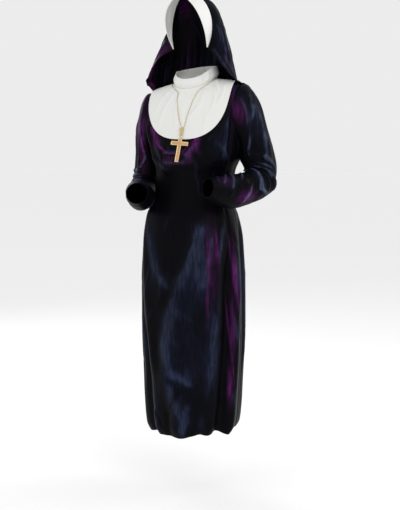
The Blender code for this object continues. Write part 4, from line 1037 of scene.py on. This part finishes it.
def bib_surface(angle, run, out=0.0):
    angle, run = np.broadcast_arrays(angle, run)
    around = (angle + math.pi) % FULL_TURN - math.pi
    lift = fold_height(BIB_CREASES, around * DRESS_MEAN_RADIUS, run)
    lift = np.clip(lift, -BIB_DEEPEST_DIP, None) * smooth_step(run / BIB_CREASES_FADE_IN)
    return dress(angle, run, BIB_OUT + lift + out)


WAVES_PER_SCALE = 20


def white_cloth(name, colour, roughness, thread_mm, depth, sheen):
    """A matt white cloth with its threads crossing. They are drawn coarser than real so that they show."""
    cloth = new_material(name, Base_Color=srgb(colour), Roughness=roughness, Sheen_Weight=sheen)
    place = add_node(cloth, "ShaderNodeTexCoord")
    turns_per_metre = 1000 / thread_mm
    bump = None
    for direction in ("X", "Z"):
        thread = add_node(
            cloth,
            "ShaderNodeTexWave",
            [("Vector", place, "Object")],
            bands_direction=direction,
            Scale=turns_per_metre / WAVES_PER_SCALE,
            Distortion=0.6,
        )
        links = [("Height", thread, "Fac")]
        if bump:
            links.append(("Normal", bump, "Normal"))
        bump = add_node(cloth, "ShaderNodeBump", links, Strength=0.3, Distance=depth)
    link_to_shader(cloth, "Normal", bump, "Normal")
    return cloth


# Bib cotton: a plain weave, quite matt, its threads about half a millimetre apart and drawn at 1.6.
cotton = white_cloth(
    "woven_white_cotton", "#E0E0DD", roughness=0.85, thread_mm=1.6, depth=0.0002, sheen=0.1
)

for side, (first, last) in PANEL_SPANS.items():
    turns = np.linspace(first, last, BIB_COLUMNS)
    ends = bib_ends(turns, BIB_DROPS[side])
    down = np.linspace(0.0, 1.0, BIB_ROWS)[:, None]
    runs = ends[None, :] * down
    angles = np.broadcast_to(turns, runs.shape)
    rise = BIB_TURNING_RISE * smooth_step((runs - ends[None, :] + BIB_TURNING) / BIB_TURNING_FADE)
    rise = rise + seam_groove(runs - NECK_SEAM_RUN, NECK_SEAM_HALF_WIDTH, NECK_SEAM_DEPTH)
    half = cloth_from_rows(f"cotton_bib_{side}", bib_surface(angles, runs, rise))
    add_wall(half, BIB_WALL)
    half.data.materials.append(cotton)
    width, length, area = BIB_CUTS[side]
    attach(half, "garment")
    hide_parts(f"bib_{side}")

# The neck band: the same cotton, a strip sewn to the bib's neck edge. It stands up unevenly, pushed out at
# the wearer's left and rising at both sides.

COLLAR = Table(
    ("run", "out", "front_rise", "side_rise", "back_rise"),
    {
        "seam": (0.000, 0.000, 0.0003, 0.0003, 0.0003),
        "swell": (0.018, 0.005, 0.014, 0.017, 0.019),
        "top": (0.038, -0.002, 0.032, 0.040, 0.044),
    },
)
COLLAR_WAVES = {"three_bulges": (3, 0.6, 0.0035), "five_ripples": (5, 2.1, 0.0015)}


def collar(angle, run):
    size = COLLAR.read(run)
    foot = dress(angle, np.zeros(np.shape(angle)), BIB_OUT)
    deep = np.sin(angle)
    end_rise = np.where(deep < 0, size["front_rise"], size["back_rise"])
    rise = size["side_rise"] + (end_rise - size["side_rise"]) * np.abs(deep) ** SHOULDER_CURVE
    height = run / COLLAR.last
    out = size["out"]
    for count, phase, size_of_wave in COLLAR_WAVES.values():
        out = out + size_of_wave * height * np.sin(count * angle + phase)
    way = np.stack([np.cos(angle), deep, np.zeros(np.shape(angle))], axis=-1)
    up = np.array([0.0, 0.0, 1.0])
    return foot + way * out[..., None] + up * rise[..., None]


COLLAR_COLUMNS = 241
COLLAR_ROWS = 22
COLLAR_CREASES_FADE_IN = 0.010
COLLAR_STITCH_INSET = 0.004
COLLAR_STITCH_HALF_WIDTH = 0.0015
COLLAR_STITCH_DEPTH = 0.0004
COLLAR_CREASES = {
    "left_push": (-0.105, 0.006, -0.085, 0.036, 0.014, 0.0030, 0.02),
    "left_dip": (-0.140, 0.004, -0.130, 0.038, 0.010, -0.0022, 0.02),
    "front_ripple": (-0.215, 0.004, -0.225, 0.036, 0.010, 0.0012, 0.02),
    "right_push": (-0.345, 0.006, -0.335, 0.036, 0.012, 0.0024, 0.02),
    "right_dip": (-0.310, 0.004, -0.318, 0.036, 0.010, -0.0018, 0.02),
    "back_left": (0.140, 0.004, 0.150, 0.038, 0.012, 0.0020, 0.02),
    "back_middle": (0.250, 0.004, 0.235, 0.038, 0.012, -0.0018, 0.02),
    "back_right": (0.350, 0.004, 0.345, 0.038, 0.012, 0.0022, 0.02),
}

turns = np.linspace(-math.pi, math.pi, COLLAR_COLUMNS)
angles, runs = np.meshgrid(turns, np.linspace(COLLAR.last, 0.0, COLLAR_ROWS))
points = collar(angles, runs)
around = angles * DRESS_MEAN_RADIUS
push = fold_height(COLLAR_CREASES, around, runs) * smooth_step(runs / COLLAR_CREASES_FADE_IN)
to_stitch = COLLAR.last - COLLAR_STITCH_INSET - runs
push = push + seam_groove(to_stitch, COLLAR_STITCH_HALF_WIDTH, COLLAR_STITCH_DEPTH)
outwards = np.stack([np.cos(angles), np.sin(angles), np.zeros(angles.shape)], axis=-1)
points = points + outwards * push[..., None]
neckband = cloth_from_rows("cotton_neckband", points, closed_round=True)
add_wall(neckband, BIB_WALL)
neckband.data.materials.append(cotton)
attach(neckband, "garment")
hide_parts("bib_neckband")

# The headband: white stretch jersey doubled over, about 4 cm wide, pulled over the head from ear to ear and
# sewn to the veil's front edge. It comes to a soft point at the middle of the forehead.

BAND_WALL = 0.0020
VEIL_WALL = 0.0012
HEAD_AXIS_Y = -0.020
ARCH_COLUMNS = ("run", "x", "y_end", "z_end", "y_mid", "z_mid", "half_width", "reach", "bow", "point", "turn")
POINT_SPREAD = math.radians(32)
BAND = Table(
    ARCH_COLUMNS,
    {
        "veil_edge": (0.000, 0.000, -0.008, 0.120, -0.026, 0.3035, 0.0838, 123, 0.018, 0.000, -14),
        "middle": (0.021, 0.000, -0.009, 0.119, -0.046, 0.3000, 0.0840, 122, 0.006, 0.002, -14),
        "face_edge": (0.042, 0.000, -0.010, 0.118, -0.064, 0.2860, 0.0800, 121, -0.012, 0.008, -14),
    },
)
VEIL = Table(
    ARCH_COLUMNS,
    {
        "band_edge": (0.000, 0.000, -0.008, 0.120, -0.026, 0.3035, 0.0838, 123, 0.018, 0.000, -14),
        "crown": (0.050, -0.004, -0.010, 0.112, 0.020, 0.300, 0.101, 122, 0.012, 0.000, -13),
        "back_of_crown": (0.105, -0.008, -0.014, 0.102, 0.066, 0.274, 0.115, 118, 0.006, 0.000, -12),
        "back_of_head": (0.165, -0.010, -0.018, 0.090, 0.098, 0.224, 0.126, 114, 0.000, 0.000, -11),
        "low_head": (0.225, -0.010, -0.020, 0.076, 0.112, 0.165, 0.134, 110, 0.000, 0.000, -9),
        "nape": (0.285, -0.009, -0.020, 0.060, 0.120, 0.105, 0.141, 106, 0.000, 0.000, -7),
        "neck": (0.345, -0.007, -0.018, 0.044, 0.124, 0.045, 0.148, 102, 0.000, 0.000, -4),
        "collar": (0.397, -0.005, -0.014, 0.030, 0.133, -0.008, 0.154, 99, 0.000, 0.000, -2),
        "shoulder": (0.452, -0.003, -0.004, 0.020, 0.146, -0.060, 0.158, 96, 0.000, 0.000, 0),
        "shoulder_blade": (0.518, 0.000, 0.012, 0.010, 0.158, -0.124, 0.161, 92, 0.000, 0.000, 0),
        "upper_back": (0.588, 0.000, 0.040, -0.010, 0.164, -0.193, 0.160, 89, 0.000, 0.000, 0),
        "middle_back": (0.660, 0.000, 0.072, -0.048, 0.163, -0.263, 0.152, 87, 0.000, 0.000, 0),
        "hem": (0.728, 0.000, 0.098, -0.098, 0.158, -0.330, 0.141, 86, 0.000, 0.000, 0),
    },
)
VEIL_HALF_SPAN = 0.24
# Across is metres from the middle of the veil, to the wearer's left.
VEIL_FOLDS = {
    "left_temple": (0.150, 0.030, 0.190, 0.330, 0.018, 0.004, 0.06),
    "left_ear": (0.190, 0.060, 0.215, 0.420, 0.018, 0.005, 0.08),
    "left_flute": (0.110, 0.220, 0.175, 0.800, 0.026, 0.012, 0.14),
    "left_hollow": (0.078, 0.260, 0.120, 0.800, 0.024, -0.009, 0.14),
    "middle_left_flute": (0.045, 0.240, 0.070, 0.800, 0.026, 0.014, 0.14),
    "middle_hollow": (0.005, 0.280, 0.014, 0.800, 0.024, -0.010, 0.14),
    "middle_right_flute": (-0.040, 0.230, -0.048, 0.800, 0.026, 0.011, 0.14),
    "right_hollow": (-0.080, 0.270, -0.108, 0.800, 0.024, -0.009, 0.14),
    "right_flute": (-0.115, 0.210, -0.160, 0.800, 0.026, 0.013, 0.14),
    "right_ear": (-0.180, 0.060, -0.200, 0.420, 0.020, 0.005, 0.08),
    "right_corner": (-0.240, 0.450, -0.230, 0.560, 0.060, 0.012, 0.10),
}


def arch(table, share, run):
    """The arch at this run. Share is -1 at the wearer's left end, 0 over the crown and 1 at the right end."""
    size = table.read(run)
    reach = np.radians(size["reach"])
    turned = share * reach
    q = (np.cos(turned) - np.cos(reach)) / (1 - np.cos(reach))
    x = size["x"] - size["half_width"] * np.sin(turned)
    y = size["y_end"] + (size["y_mid"] - size["y_end"]) * q + size["bow"] * np.sin(math.pi * np.abs(share))
    cusp = size["point"] * np.clip(1 - np.abs(turned) / POINT_SPREAD, 0.0, 1.0)
    z = size["z_end"] + (size["z_mid"] - size["z_end"]) * q + cusp
    turn = np.radians(size["turn"])
    turned_x = x * np.cos(turn) - y * np.sin(turn)
    turned_y = x * np.sin(turn) + y * np.cos(turn) + HEAD_AXIS_Y
    return np.stack(np.broadcast_arrays(turned_x, turned_y, z), axis=-1)


def band(share, run):
    return arch(BAND, share, run)


def bare_veil(share, run):
    return arch(VEIL, share, run)


def veil(share, run):
    lift = fold_height(VEIL_FOLDS, -share * VEIL_HALF_SPAN, run)
    return bare_veil(share, run) + normals_of(bare_veil, share, run) * lift[..., None]


BAND_COLUMNS = 181
BAND_ROWS = 28
BAND_END_SHARE = 0.985
BAND_ROLL = 0.0012
BAND_ROLL_WIDTH = 0.0045
BAND_CREASES = {
    "left_long": (0.060, 0.012, 0.150, 0.026, 0.005, 0.0012, 0.03),
    "left_low": (0.130, 0.008, 0.200, 0.020, 0.005, 0.0014, 0.03),
    "left_end": (0.180, 0.010, 0.230, 0.030, 0.004, -0.0012, 0.02),
    "right_long": (-0.070, 0.026, -0.150, 0.014, 0.005, 0.0012, 0.03),
    "right_end": (-0.170, 0.010, -0.225, 0.026, 0.004, -0.0012, 0.02),
    "crown": (-0.040, 0.020, 0.040, 0.016, 0.005, 0.0010, 0.03),
}
# Jersey: soft fine knit with a low sheen, its wales under a millimetre apart and drawn at 1.4.
jersey = white_cloth(
    "white_stretch_jersey", "#E4E3E1", roughness=0.62, thread_mm=1.4, depth=0.00015, sheen=0.25
)

shares, runs = np.meshgrid(
    np.linspace(-1, 1, BAND_COLUMNS) * BAND_END_SHARE, np.linspace(BAND.last, 0.0, BAND_ROWS)
)
lift = fold_height(BAND_CREASES, -shares * VEIL_HALF_SPAN, runs)
lift = lift + BAND_ROLL * np.exp(-(((BAND.last - runs) / BAND_ROLL_WIDTH) ** 2))
band_points = band(shares, runs)
band_points = band_points + normals_of(band, shares, runs) * lift[..., None]
headband = cloth_from_rows("jersey_headband", band_points)
add_wall(headband, BAND_WALL)
headband.data.materials.append(jersey)
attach(headband, "garment")
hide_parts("headband")

# The veil: the dress's velour, sewn behind the band, falling over the back of the head and spread on the
# shoulders and the back in loose flutes, with its cut edges turned in.

VEIL_COLUMNS = 181
VEIL_ROWS = 190
VEIL_SMALL_CREASES = {
    "seed": 55,
    "count": 60,
    "across_span": (-0.22, 0.22),
    "along_span": (0.06, 0.70),
    "slope": 0.4,
    "size": 0.8,
}
VEIL_CREASES_FADE_IN = 0.03
VEIL_CREASES = {
    "left_face_first": (0.1596, 0.030, 0.2040, 0.110, 0.010, 0.0035, 0.03),
    "left_face_second": (0.1668, 0.050, 0.2184, 0.266, 0.012, 0.0045, 0.06),
    "left_face_dip": (0.1500, 0.060, 0.1980, 0.280, 0.010, -0.0040, 0.06),
    "left_neck_first": (0.1836, 0.190, 0.1700, 0.400, 0.012, 0.0040, 0.06),
    "left_neck_second": (0.2076, 0.170, 0.2000, 0.380, 0.010, -0.0035, 0.06),
    "left_edge_roll": (0.2300, 0.080, 0.2320, 0.340, 0.010, 0.0035, 0.06),
    "right_edge_first": (-0.2004, 0.060, -0.2250, 0.340, 0.012, 0.0040, 0.06),
    "right_edge_dip": (-0.1850, 0.100, -0.2050, 0.360, 0.010, -0.0040, 0.06),
    "crown_left": (0.0600, 0.010, 0.0900, 0.120, 0.014, 0.0030, 0.04),
    "crown_middle": (0.0000, 0.015, 0.0100, 0.140, 0.014, 0.0025, 0.05),
    "crown_right": (-0.0700, 0.010, -0.0950, 0.130, 0.014, 0.0030, 0.04),
    "back_one": (0.1300, 0.300, 0.1500, 0.720, 0.012, 0.0040, 0.10),
    "back_two": (0.0900, 0.260, 0.1000, 0.700, 0.012, -0.0040, 0.10),
    "back_three": (0.0250, 0.240, 0.0400, 0.720, 0.012, 0.0040, 0.10),
    "back_four": (-0.0200, 0.280, -0.0180, 0.700, 0.012, -0.0035, 0.10),
    "back_five": (-0.0650, 0.250, -0.0750, 0.720, 0.012, 0.0040, 0.10),
    "back_six": (-0.1350, 0.280, -0.1500, 0.720, 0.012, 0.0040, 0.10),
}
VEIL_REST = 0.0040
BIB_EDGE_RISE = 0.0006
VEIL_REST_PASSES = 3
VEIL_SEARCH = 0.045
REST_BODY_ANGLES = np.linspace(-math.pi, math.pi, 121)
REST_BODY_RUNS = np.linspace(-0.010, 0.60, 121)
REST_ARM_RUNS = np.linspace(0.04, 0.30, 60)
# Painted dark blue sheen on the veil, in soft spots; the ridges add a painted highlight to it.
VEIL_PAINTED_NAVY_SHEEN = {
    "left_face": (0.180, 0.140, 0.030, 0.120, 1.0),
    "left_neck": (0.185, 0.300, 0.030, 0.110, 0.9),
    "crown": (0.060, 0.060, 0.060, 0.050, 0.6),
    "back_left": (0.110, 0.560, 0.030, 0.140, 0.8),
    "back_middle": (0.000, 0.420, 0.040, 0.160, 0.7),
    "back_right": (-0.130, 0.560, 0.030, 0.140, 0.8),
}
# Painted purple sheen on the veil, in soft spots.
VEIL_PAINTED_PLUM_SHEEN = {
    "right_edge": (-0.225, 0.260, 0.0154, 0.162, 1.0),
    "right_shoulder": (-0.215, 0.500, 0.0280, 0.063, 0.8),
    "left_edge": (0.205, 0.300, 0.0112, 0.108, 0.2),
    "back_left": (0.070, 0.480, 0.0210, 0.135, 0.5),
    "back_right": (-0.060, 0.420, 0.0210, 0.135, 0.5),
    "crown": (-0.060, 0.080, 0.0280, 0.045, 0.4),
}

shares, runs = np.meshgrid(np.linspace(-1, 1, VEIL_COLUMNS), np.linspace(2 * SEAM_GAP, VEIL.last, VEIL_ROWS))
across = -shares * VEIL_HALF_SPAN
veil_small = scattered_creases(**VEIL_SMALL_CREASES)
lift = fold_height(VEIL_CREASES, across, runs) + fold_height(veil_small, across, runs)
lift = lift * smooth_step(runs / VEIL_CREASES_FADE_IN)
veil_points = veil(shares, runs) + normals_of(bare_veil, shares, runs) * lift[..., None]
rest_places = np.meshgrid(REST_BODY_ANGLES, REST_BODY_RUNS)
shoulder_skins = [skin_tree(creased_dress(*rest_places, BIB_OUT + BIB_EDGE_RISE))]
for skin in (left_sleeve, right_sleeve):
    shoulder_skins.append(skin_tree(skin(*np.meshgrid(ARM_ANGLES, REST_ARM_RUNS))))
for _ in range(VEIL_REST_PASSES):
    for tree in shoulder_skins:
        for index in np.ndindex(veil_points.shape[:2]):
            near, normal, _, _ = tree.find_nearest(Vector(veil_points[index]), VEIL_SEARCH)
            if near is not None and (Vector(veil_points[index]) - near).dot(normal) < VEIL_REST:
                veil_points[index] = near + normal * VEIL_REST
veil_cloth = cloth_from_rows("velour_veil", veil_points)
# Painted sheen and painted highlight for the velour's colour.
add_attribute(veil_cloth, "painted_plum_sheen", spots(VEIL_PAINTED_PLUM_SHEEN, across, runs)[::-1])
add_attribute(veil_cloth, "painted_navy_sheen", shine(spots(VEIL_PAINTED_NAVY_SHEEN, across, runs), lift)[::-1])
add_attribute(veil_cloth, "glint", glint(lift, GLINTS["veil"])[::-1])
add_wall(veil_cloth, VEIL_WALL)
veil_cloth.data.materials.append(velour)
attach(veil_cloth, "garment")
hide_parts("veil")

# The chain: fine cable links of gold-plated wire, worn under the neck band's foot and meeting at the two
# shoulders of the centrepiece.

CHAIN_WIRE = 0.0018
CHAIN = Table(
    ("run", "angle", "down"),
    {
        "left_of_centrepiece": (0.00, -88.2, 0.118),
        "left_low": (0.06, -86.6, 0.086),
        "left_middle": (0.11, -83.0, 0.061),
        "left_high": (0.16, -77.0, 0.036),
        "left_top": (0.21, -66.0, 0.016),
        "left_foot": (0.27, -45.0, 0.009),
        "left_shoulder": (0.36, 0.0, 0.007),
        "back": (0.54, 90.0, 0.008),
        "right_shoulder": (0.72, 180.0, 0.007),
        "right_foot": (0.80, 225.0, 0.008),
        "right_top": (0.86, 247.0, 0.014),
        "right_high": (0.90, 254.0, 0.028),
        "right_middle": (0.95, 262.0, 0.066),
        "right_of_centrepiece": (1.00, 268.6, 0.118),
    },
)

PENDANT_X = 0.003
HINGE_Z = -0.1765
EYE_RADIUS = 0.0022
EYE_WIRE = 0.0006
LOOP_RADIUS = 0.0036
LOBES = {"upper": (-0.1485, 0.0085), "lower": (-0.1626, 0.0068)}
CROSS_LENGTH = 0.080
CROSS_SPAN = 0.062
CROSS_BAR = 0.0135
CROSS_ARM_DROP = 0.0165
CROSS_THICKNESS = 0.0036
CROSS_BORDER = 0.0022
CROSS_FIELD_DEPTH = 0.0007
CROSS_LEAN = math.radians(4)
CROSS_TOP_DROP = 0.0034
CHEST_ANGLES = np.radians(np.linspace(-112, -68, 23))
CHEST_REST_RUNS = np.linspace(0.10, 0.32, 45)

LINK_LENGTH = 0.0044
LINK_WIDTH = 0.0026
LINK_WIRE = 0.00045
LINK_PITCH = LINK_LENGTH - 2.6 * LINK_WIRE
LINK_SIDES = 8
LINK_WIRE_SIDES = 4
CHAIN_ROUTE_POINTS = 160
CHAIN_CLEAR = 0.0004
GOLD_GRAINS_A_METRE = 900.0

# Plated zinc alloy: warm pale gold, bright on raised parts and a little worn.
gold = new_material("gold_plate", Base_Color=srgb("#DCC690"), Metallic=1.0, Roughness=0.27)
grain_place = add_node(gold, "ShaderNodeTexCoord")
from_grain_place = [("Vector", grain_place, "Object")]
grain = add_node(gold, "ShaderNodeTexNoise", from_grain_place, Scale=GOLD_GRAINS_A_METRE, Detail=2.0)
grain_bump = add_node(gold, "ShaderNodeBump", [("Height", grain, "Fac")], Strength=0.15, Distance=0.0002)
link_to_shader(gold, "Normal", grain_bump, "Normal")


def hinge_place():
    """Where the swinging line lies in front of the bib, and how far the pendant leans on the chest."""
    cloth_points = dress(*np.meshgrid(CHEST_ANGLES, CHEST_REST_RUNS), BIB_OUT).reshape(-1, 3)
    clear = EYE_RADIUS + EYE_WIRE + LAY_GAP
    beside_line = np.abs(cloth_points[:, 2] - HINGE_Z) < 2 * LOOP_RADIUS
    y = float(cloth_points[beside_line, 1].min()) - clear
    below = cloth_points[:, 2] < HINGE_Z - 2 * LOOP_RADIUS
    drop = HINGE_Z - cloth_points[below, 2]
    behind = drop < CROSS_LENGTH + CROSS_TOP_DROP
    proud = y + clear - cloth_points[below, 1]
    return y, float(np.arctan2(proud[behind], drop[behind]).clip(0.0).max())


hinge_y, lean = hinge_place()
upper_z, upper_radius = LOBES["upper"]
lower_z, lower_radius = LOBES["lower"]
shoulder = (upper_radius + CHAIN_WIRE / 2) * math.sqrt(0.5)
rise = upper_z + shoulder - HINGE_Z
end_y = hinge_y + math.sin(lean) * rise
end_z = HINGE_Z + math.cos(lean) * rise
ends = [(PENDANT_X + way * shoulder, end_y, end_z) for way in (1, -1)]
size = CHAIN.read(np.linspace(0.0, 1.0, CHAIN_ROUTE_POINTS))
route = bib_surface(np.radians(size["angle"]), size["down"], LINK_WIDTH / 2 + CHAIN_CLEAR)
route = np.concatenate([[ends[0]], route, [ends[1]]])
chain_length = float(np.linalg.norm(np.diff(route, axis=0), axis=1).sum())

path = bpy.data.curves.new("chain_path", "CURVE")
path.dimensions = "3D"
spline = path.splines.new("POLY")
spline.points.add(len(route) - 1)
for slot, point in zip(spline.points, route):
    slot.co = (*point, 1.0)
chain_path = bpy.data.objects.new("chain_path", path)
bpy.context.scene.collection.objects.link(chain_path)


def ring(major, wire, place, turned=(0.0, 0.0, 0.0), sides=16, wire_sides=8):
    """A ring of round wire, about its own Z before it is turned."""
    deselect_all()
    bpy.ops.mesh.primitive_torus_add(
        major_segments=sides,
        minor_segments=wire_sides,
        major_radius=major,
        minor_radius=wire,
        location=place,
        rotation=turned,
    )
    bpy.ops.object.transform_apply(location=True, rotation=True, scale=True)
    return bpy.context.object


def join(pieces, name):
    deselect_all()
    for piece in pieces:
        piece.select_set(True)
    bpy.context.view_layer.objects.active = pieces[0]
    bpy.ops.object.join()
    joined = bpy.context.object
    joined.name = name
    joined.data.name = name
    return joined


links = []
for i, turned in enumerate((0.0, math.pi / 2)):
    radius = LINK_WIDTH / 2 - LINK_WIRE
    link = ring(radius, LINK_WIRE, (0.0, 0.0, 0.0), sides=LINK_SIDES, wire_sides=LINK_WIRE_SIDES)
    stretch = (LINK_LENGTH - 2 * LINK_WIRE) / (LINK_WIDTH - 2 * LINK_WIRE)
    link.data.transform(Matrix.Scale(stretch, 4, (1.0, 0.0, 0.0)))
    link.data.transform(Matrix.Rotation(turned, 4, "X"))
    link.data.transform(Matrix.Translation((i * LINK_PITCH + LINK_LENGTH / 2, 0.0, 0.0)))
    links.append(link)
chain = join(links, "gold_chain")
repeat = chain.modifiers.new("links", "ARRAY")
repeat.use_relative_offset = False
repeat.use_constant_offset = True
repeat.constant_offset_displace = (2 * LINK_PITCH, 0.0, 0.0)
repeat.count = int((chain_length - LINK_PITCH) / (2 * LINK_PITCH))
follow = chain.modifiers.new("path", "CURVE")
follow.object = chain_path
follow.deform_axis = "POS_X"
deselect_all()
bpy.context.view_layer.objects.active = chain
chain.select_set(True)
for step in (repeat.name, follow.name):
    bpy.ops.object.modifier_apply(modifier=step)
bpy.ops.object.shade_smooth()
bpy.data.objects.remove(chain_path, do_unlink=True)
chain.data.materials.append(gold)
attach(chain, "garment")
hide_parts("necklace_chain")

# The centrepiece: cast openwork of two round lobes, one over the other, each a rim round a wheel of small
# rings with a boss at its middle. The loop under it carries the cross.

RIM_WIRE = 0.0009
WHEEL_WIRE = 0.0005
BOSS_SEGMENTS = 12
WHEEL_SHARE = 0.30
SMALL_BOSS = 0.0007
WAIST_BOSS = 0.0016
WAIST_BOSS_REACH = 0.72
WAIST_BOSS_DROP = 0.001
CROWN_BOSS = 0.0018
OUTER_BOSS_FLAT = 0.7
SMALL_BOSS_FLAT = 0.8
SMALL_BOSS_PROUD = 0.0004
MIDDLE_BOSS_PROUD = 0.0002
WHEEL_INSET_IN_WIRES = 1.6
UPPER_RINGS = 8
LOWER_RINGS = 6


def boss(radius, place, flat=0.6):
    deselect_all()
    bpy.ops.mesh.primitive_uv_sphere_add(segments=BOSS_SEGMENTS, ring_count=BOSS_SEGMENTS // 2, radius=radius)
    bpy.context.object.scale = (1.0, flat, 1.0)
    bpy.context.object.location = place
    bpy.ops.object.transform_apply(location=True, rotation=True, scale=True)
    return bpy.context.object


def hang_from_hinge(piece, turned=0.0):
    """Moves a piece made about the swinging line to its place: turned, leaned and set down."""
    piece.data.transform(Matrix.Rotation(turned, 4, "Y"))
    piece.data.transform(Matrix.Rotation(-lean, 4, "X"))
    piece.data.transform(Matrix.Translation((PENDANT_X, hinge_y, HINGE_Z)))


UPRIGHT = (math.pi / 2, 0.0, 0.0)
cast = []
for z, radius, wheel in ((upper_z, upper_radius, UPPER_RINGS), (lower_z, lower_radius, LOWER_RINGS)):
    middle = z - HINGE_Z
    cast.append(ring(radius - RIM_WIRE, RIM_WIRE, (0.0, 0.0, middle), UPRIGHT, sides=32))
    small = (radius - 2 * RIM_WIRE) * WHEEL_SHARE
    for i in range(wheel):
        turn = FULL_TURN * (i + 0.5) / wheel
        out = radius - WHEEL_INSET_IN_WIRES * RIM_WIRE - small
        place = (out * math.cos(turn), 0.0, middle + out * math.sin(turn))
        cast.append(ring(small, WHEEL_WIRE, place, UPRIGHT, sides=14, wire_sides=6))
        cast.append(boss(SMALL_BOSS, (place[0], -SMALL_BOSS_PROUD, place[2]), SMALL_BOSS_FLAT))
    cast.append(boss(radius * WHEEL_SHARE, (0.0, -MIDDLE_BOSS_PROUD, middle)))
waist_z = (upper_z + lower_z) / 2 - HINGE_Z - WAIST_BOSS_DROP
for way in (-1, 1):
    cast.append(boss(WAIST_BOSS, (way * lower_radius * WAIST_BOSS_REACH, 0.0, waist_z), OUTER_BOSS_FLAT))
cast.append(boss(CROWN_BOSS, (0.0, 0.0, upper_z + upper_radius - HINGE_Z), OUTER_BOSS_FLAT))
cast.append(ring(LOOP_RADIUS, EYE_WIRE, (0.0, 0.0, LOOP_RADIUS), UPRIGHT, sides=24))
centrepiece = join(cast, "gold_centrepiece")
hang_from_hinge(centrepiece)
bpy.ops.object.shade_smooth()
centrepiece.data.materials.append(gold)
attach(centrepiece, "garment")
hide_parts("necklace_centrepiece")

# The cross: cast in one with its eye. A raised bright border runs all round a sunk field, which is duller,
# with a fine grain from the mould. The field's pinker tone is a painted reflection of the wearer's skin.

FIELD_GRAIN_MM = 0.8
BORDER_BEVEL = 0.0005
BORDER_SLOPE = 0.0003
BORDER_BEVEL_STEPS = 2
BORDER_BEVEL_FROM = math.radians(40)
CROSS_SMOOTH_ANGLE = math.radians(35)
FACING = 0.99

deselect_all()
bpy.ops.mesh.primitive_cube_add(size=1.0)
cross = bpy.context.object
cross.name = "gold_cross"
cross.data.name = "gold_cross"
cross.data.transform(Matrix.Diagonal((CROSS_BAR, CROSS_THICKNESS, CROSS_BAR, 1.0)))
arm = (CROSS_SPAN - CROSS_BAR) / 2
above = CROSS_ARM_DROP - CROSS_BAR / 2
ARMS = {
    "left": ((1, 0, 0), arm),
    "right": ((-1, 0, 0), arm),
    "top": ((0, 0, 1), above),
    "foot": ((0, 0, -1), CROSS_LENGTH - above - CROSS_BAR),
}
bpy.ops.object.mode_set(mode="EDIT")
bpy.ops.mesh.select_mode(type="FACE")
for way, length in ARMS.values():
    bpy.ops.mesh.select_all(action="DESELECT")
    bpy.ops.object.mode_set(mode="OBJECT")
    for face in cross.data.polygons:
        face.select = face.normal.dot(Vector(way)) > FACING and face.center.length < CROSS_BAR
    bpy.ops.object.mode_set(mode="EDIT")
    bpy.ops.mesh.extrude_region_move(TRANSFORM_OT_translate={"value": [w * length for w in way]})
bpy.ops.mesh.select_all(action="DESELECT")
bpy.ops.object.mode_set(mode="OBJECT")
for face in cross.data.polygons:
    face.select = face.normal.y < -FACING
bpy.ops.object.mode_set(mode="EDIT")
bpy.ops.mesh.inset(thickness=CROSS_BORDER, depth=0.0, use_boundary=True)
bpy.ops.mesh.inset(thickness=BORDER_SLOPE, depth=-CROSS_FIELD_DEPTH, use_boundary=True)
bpy.ops.object.mode_set(mode="OBJECT")
for face in cross.data.polygons:
    face.material_index = 1 if face.select else 0
edge = cross.modifiers.new("edge", "BEVEL")
edge.width = BORDER_BEVEL
edge.segments = BORDER_BEVEL_STEPS
edge.limit_method = "ANGLE"
edge.angle_limit = BORDER_BEVEL_FROM
bpy.ops.object.modifier_apply(modifier=edge.name)
cross.data.transform(Matrix.Translation((0.0, 0.0, -CROSS_TOP_DROP - CROSS_ARM_DROP)))
cross.data.materials.append(gold)
# The field: rougher cast gold, its pinker colour a painted reflection of skin.
field_and_painted_reflection = new_material("cast_gold_field_and_painted_reflection", Base_Color=srgb("#CFA07A"), Metallic=1.0, Roughness=0.45)
field_place = add_node(field_and_painted_reflection, "ShaderNodeTexCoord")
from_field = [("Vector", field_place, "Object")]
field_grain = add_node(field_and_painted_reflection, "ShaderNodeTexNoise", from_field, Scale=1000 / FIELD_GRAIN_MM, Detail=2.0)
grain_height = [("Height", field_grain, "Fac")]
field_bump = add_node(field_and_painted_reflection, "ShaderNodeBump", grain_height, Strength=0.4, Distance=0.0002)
link_to_shader(field_and_painted_reflection, "Normal", field_bump, "Normal")
cross.data.materials.append(field_and_painted_reflection)
bpy.ops.object.shade_smooth_by_angle(angle=CROSS_SMOOTH_ANGLE)
eye = ring(EYE_RADIUS, EYE_WIRE, (0.0, 0.0, -(EYE_RADIUS - 2 * EYE_WIRE - SEAM_GAP)), (0.0, math.pi / 2, 0.0))
bpy.ops.object.shade_smooth()
eye.data.materials.append(gold)
cross = join([cross, eye], "gold_cross")
hang_from_hinge(cross, CROSS_LEAN)
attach(cross, "pendant")
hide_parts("cross")
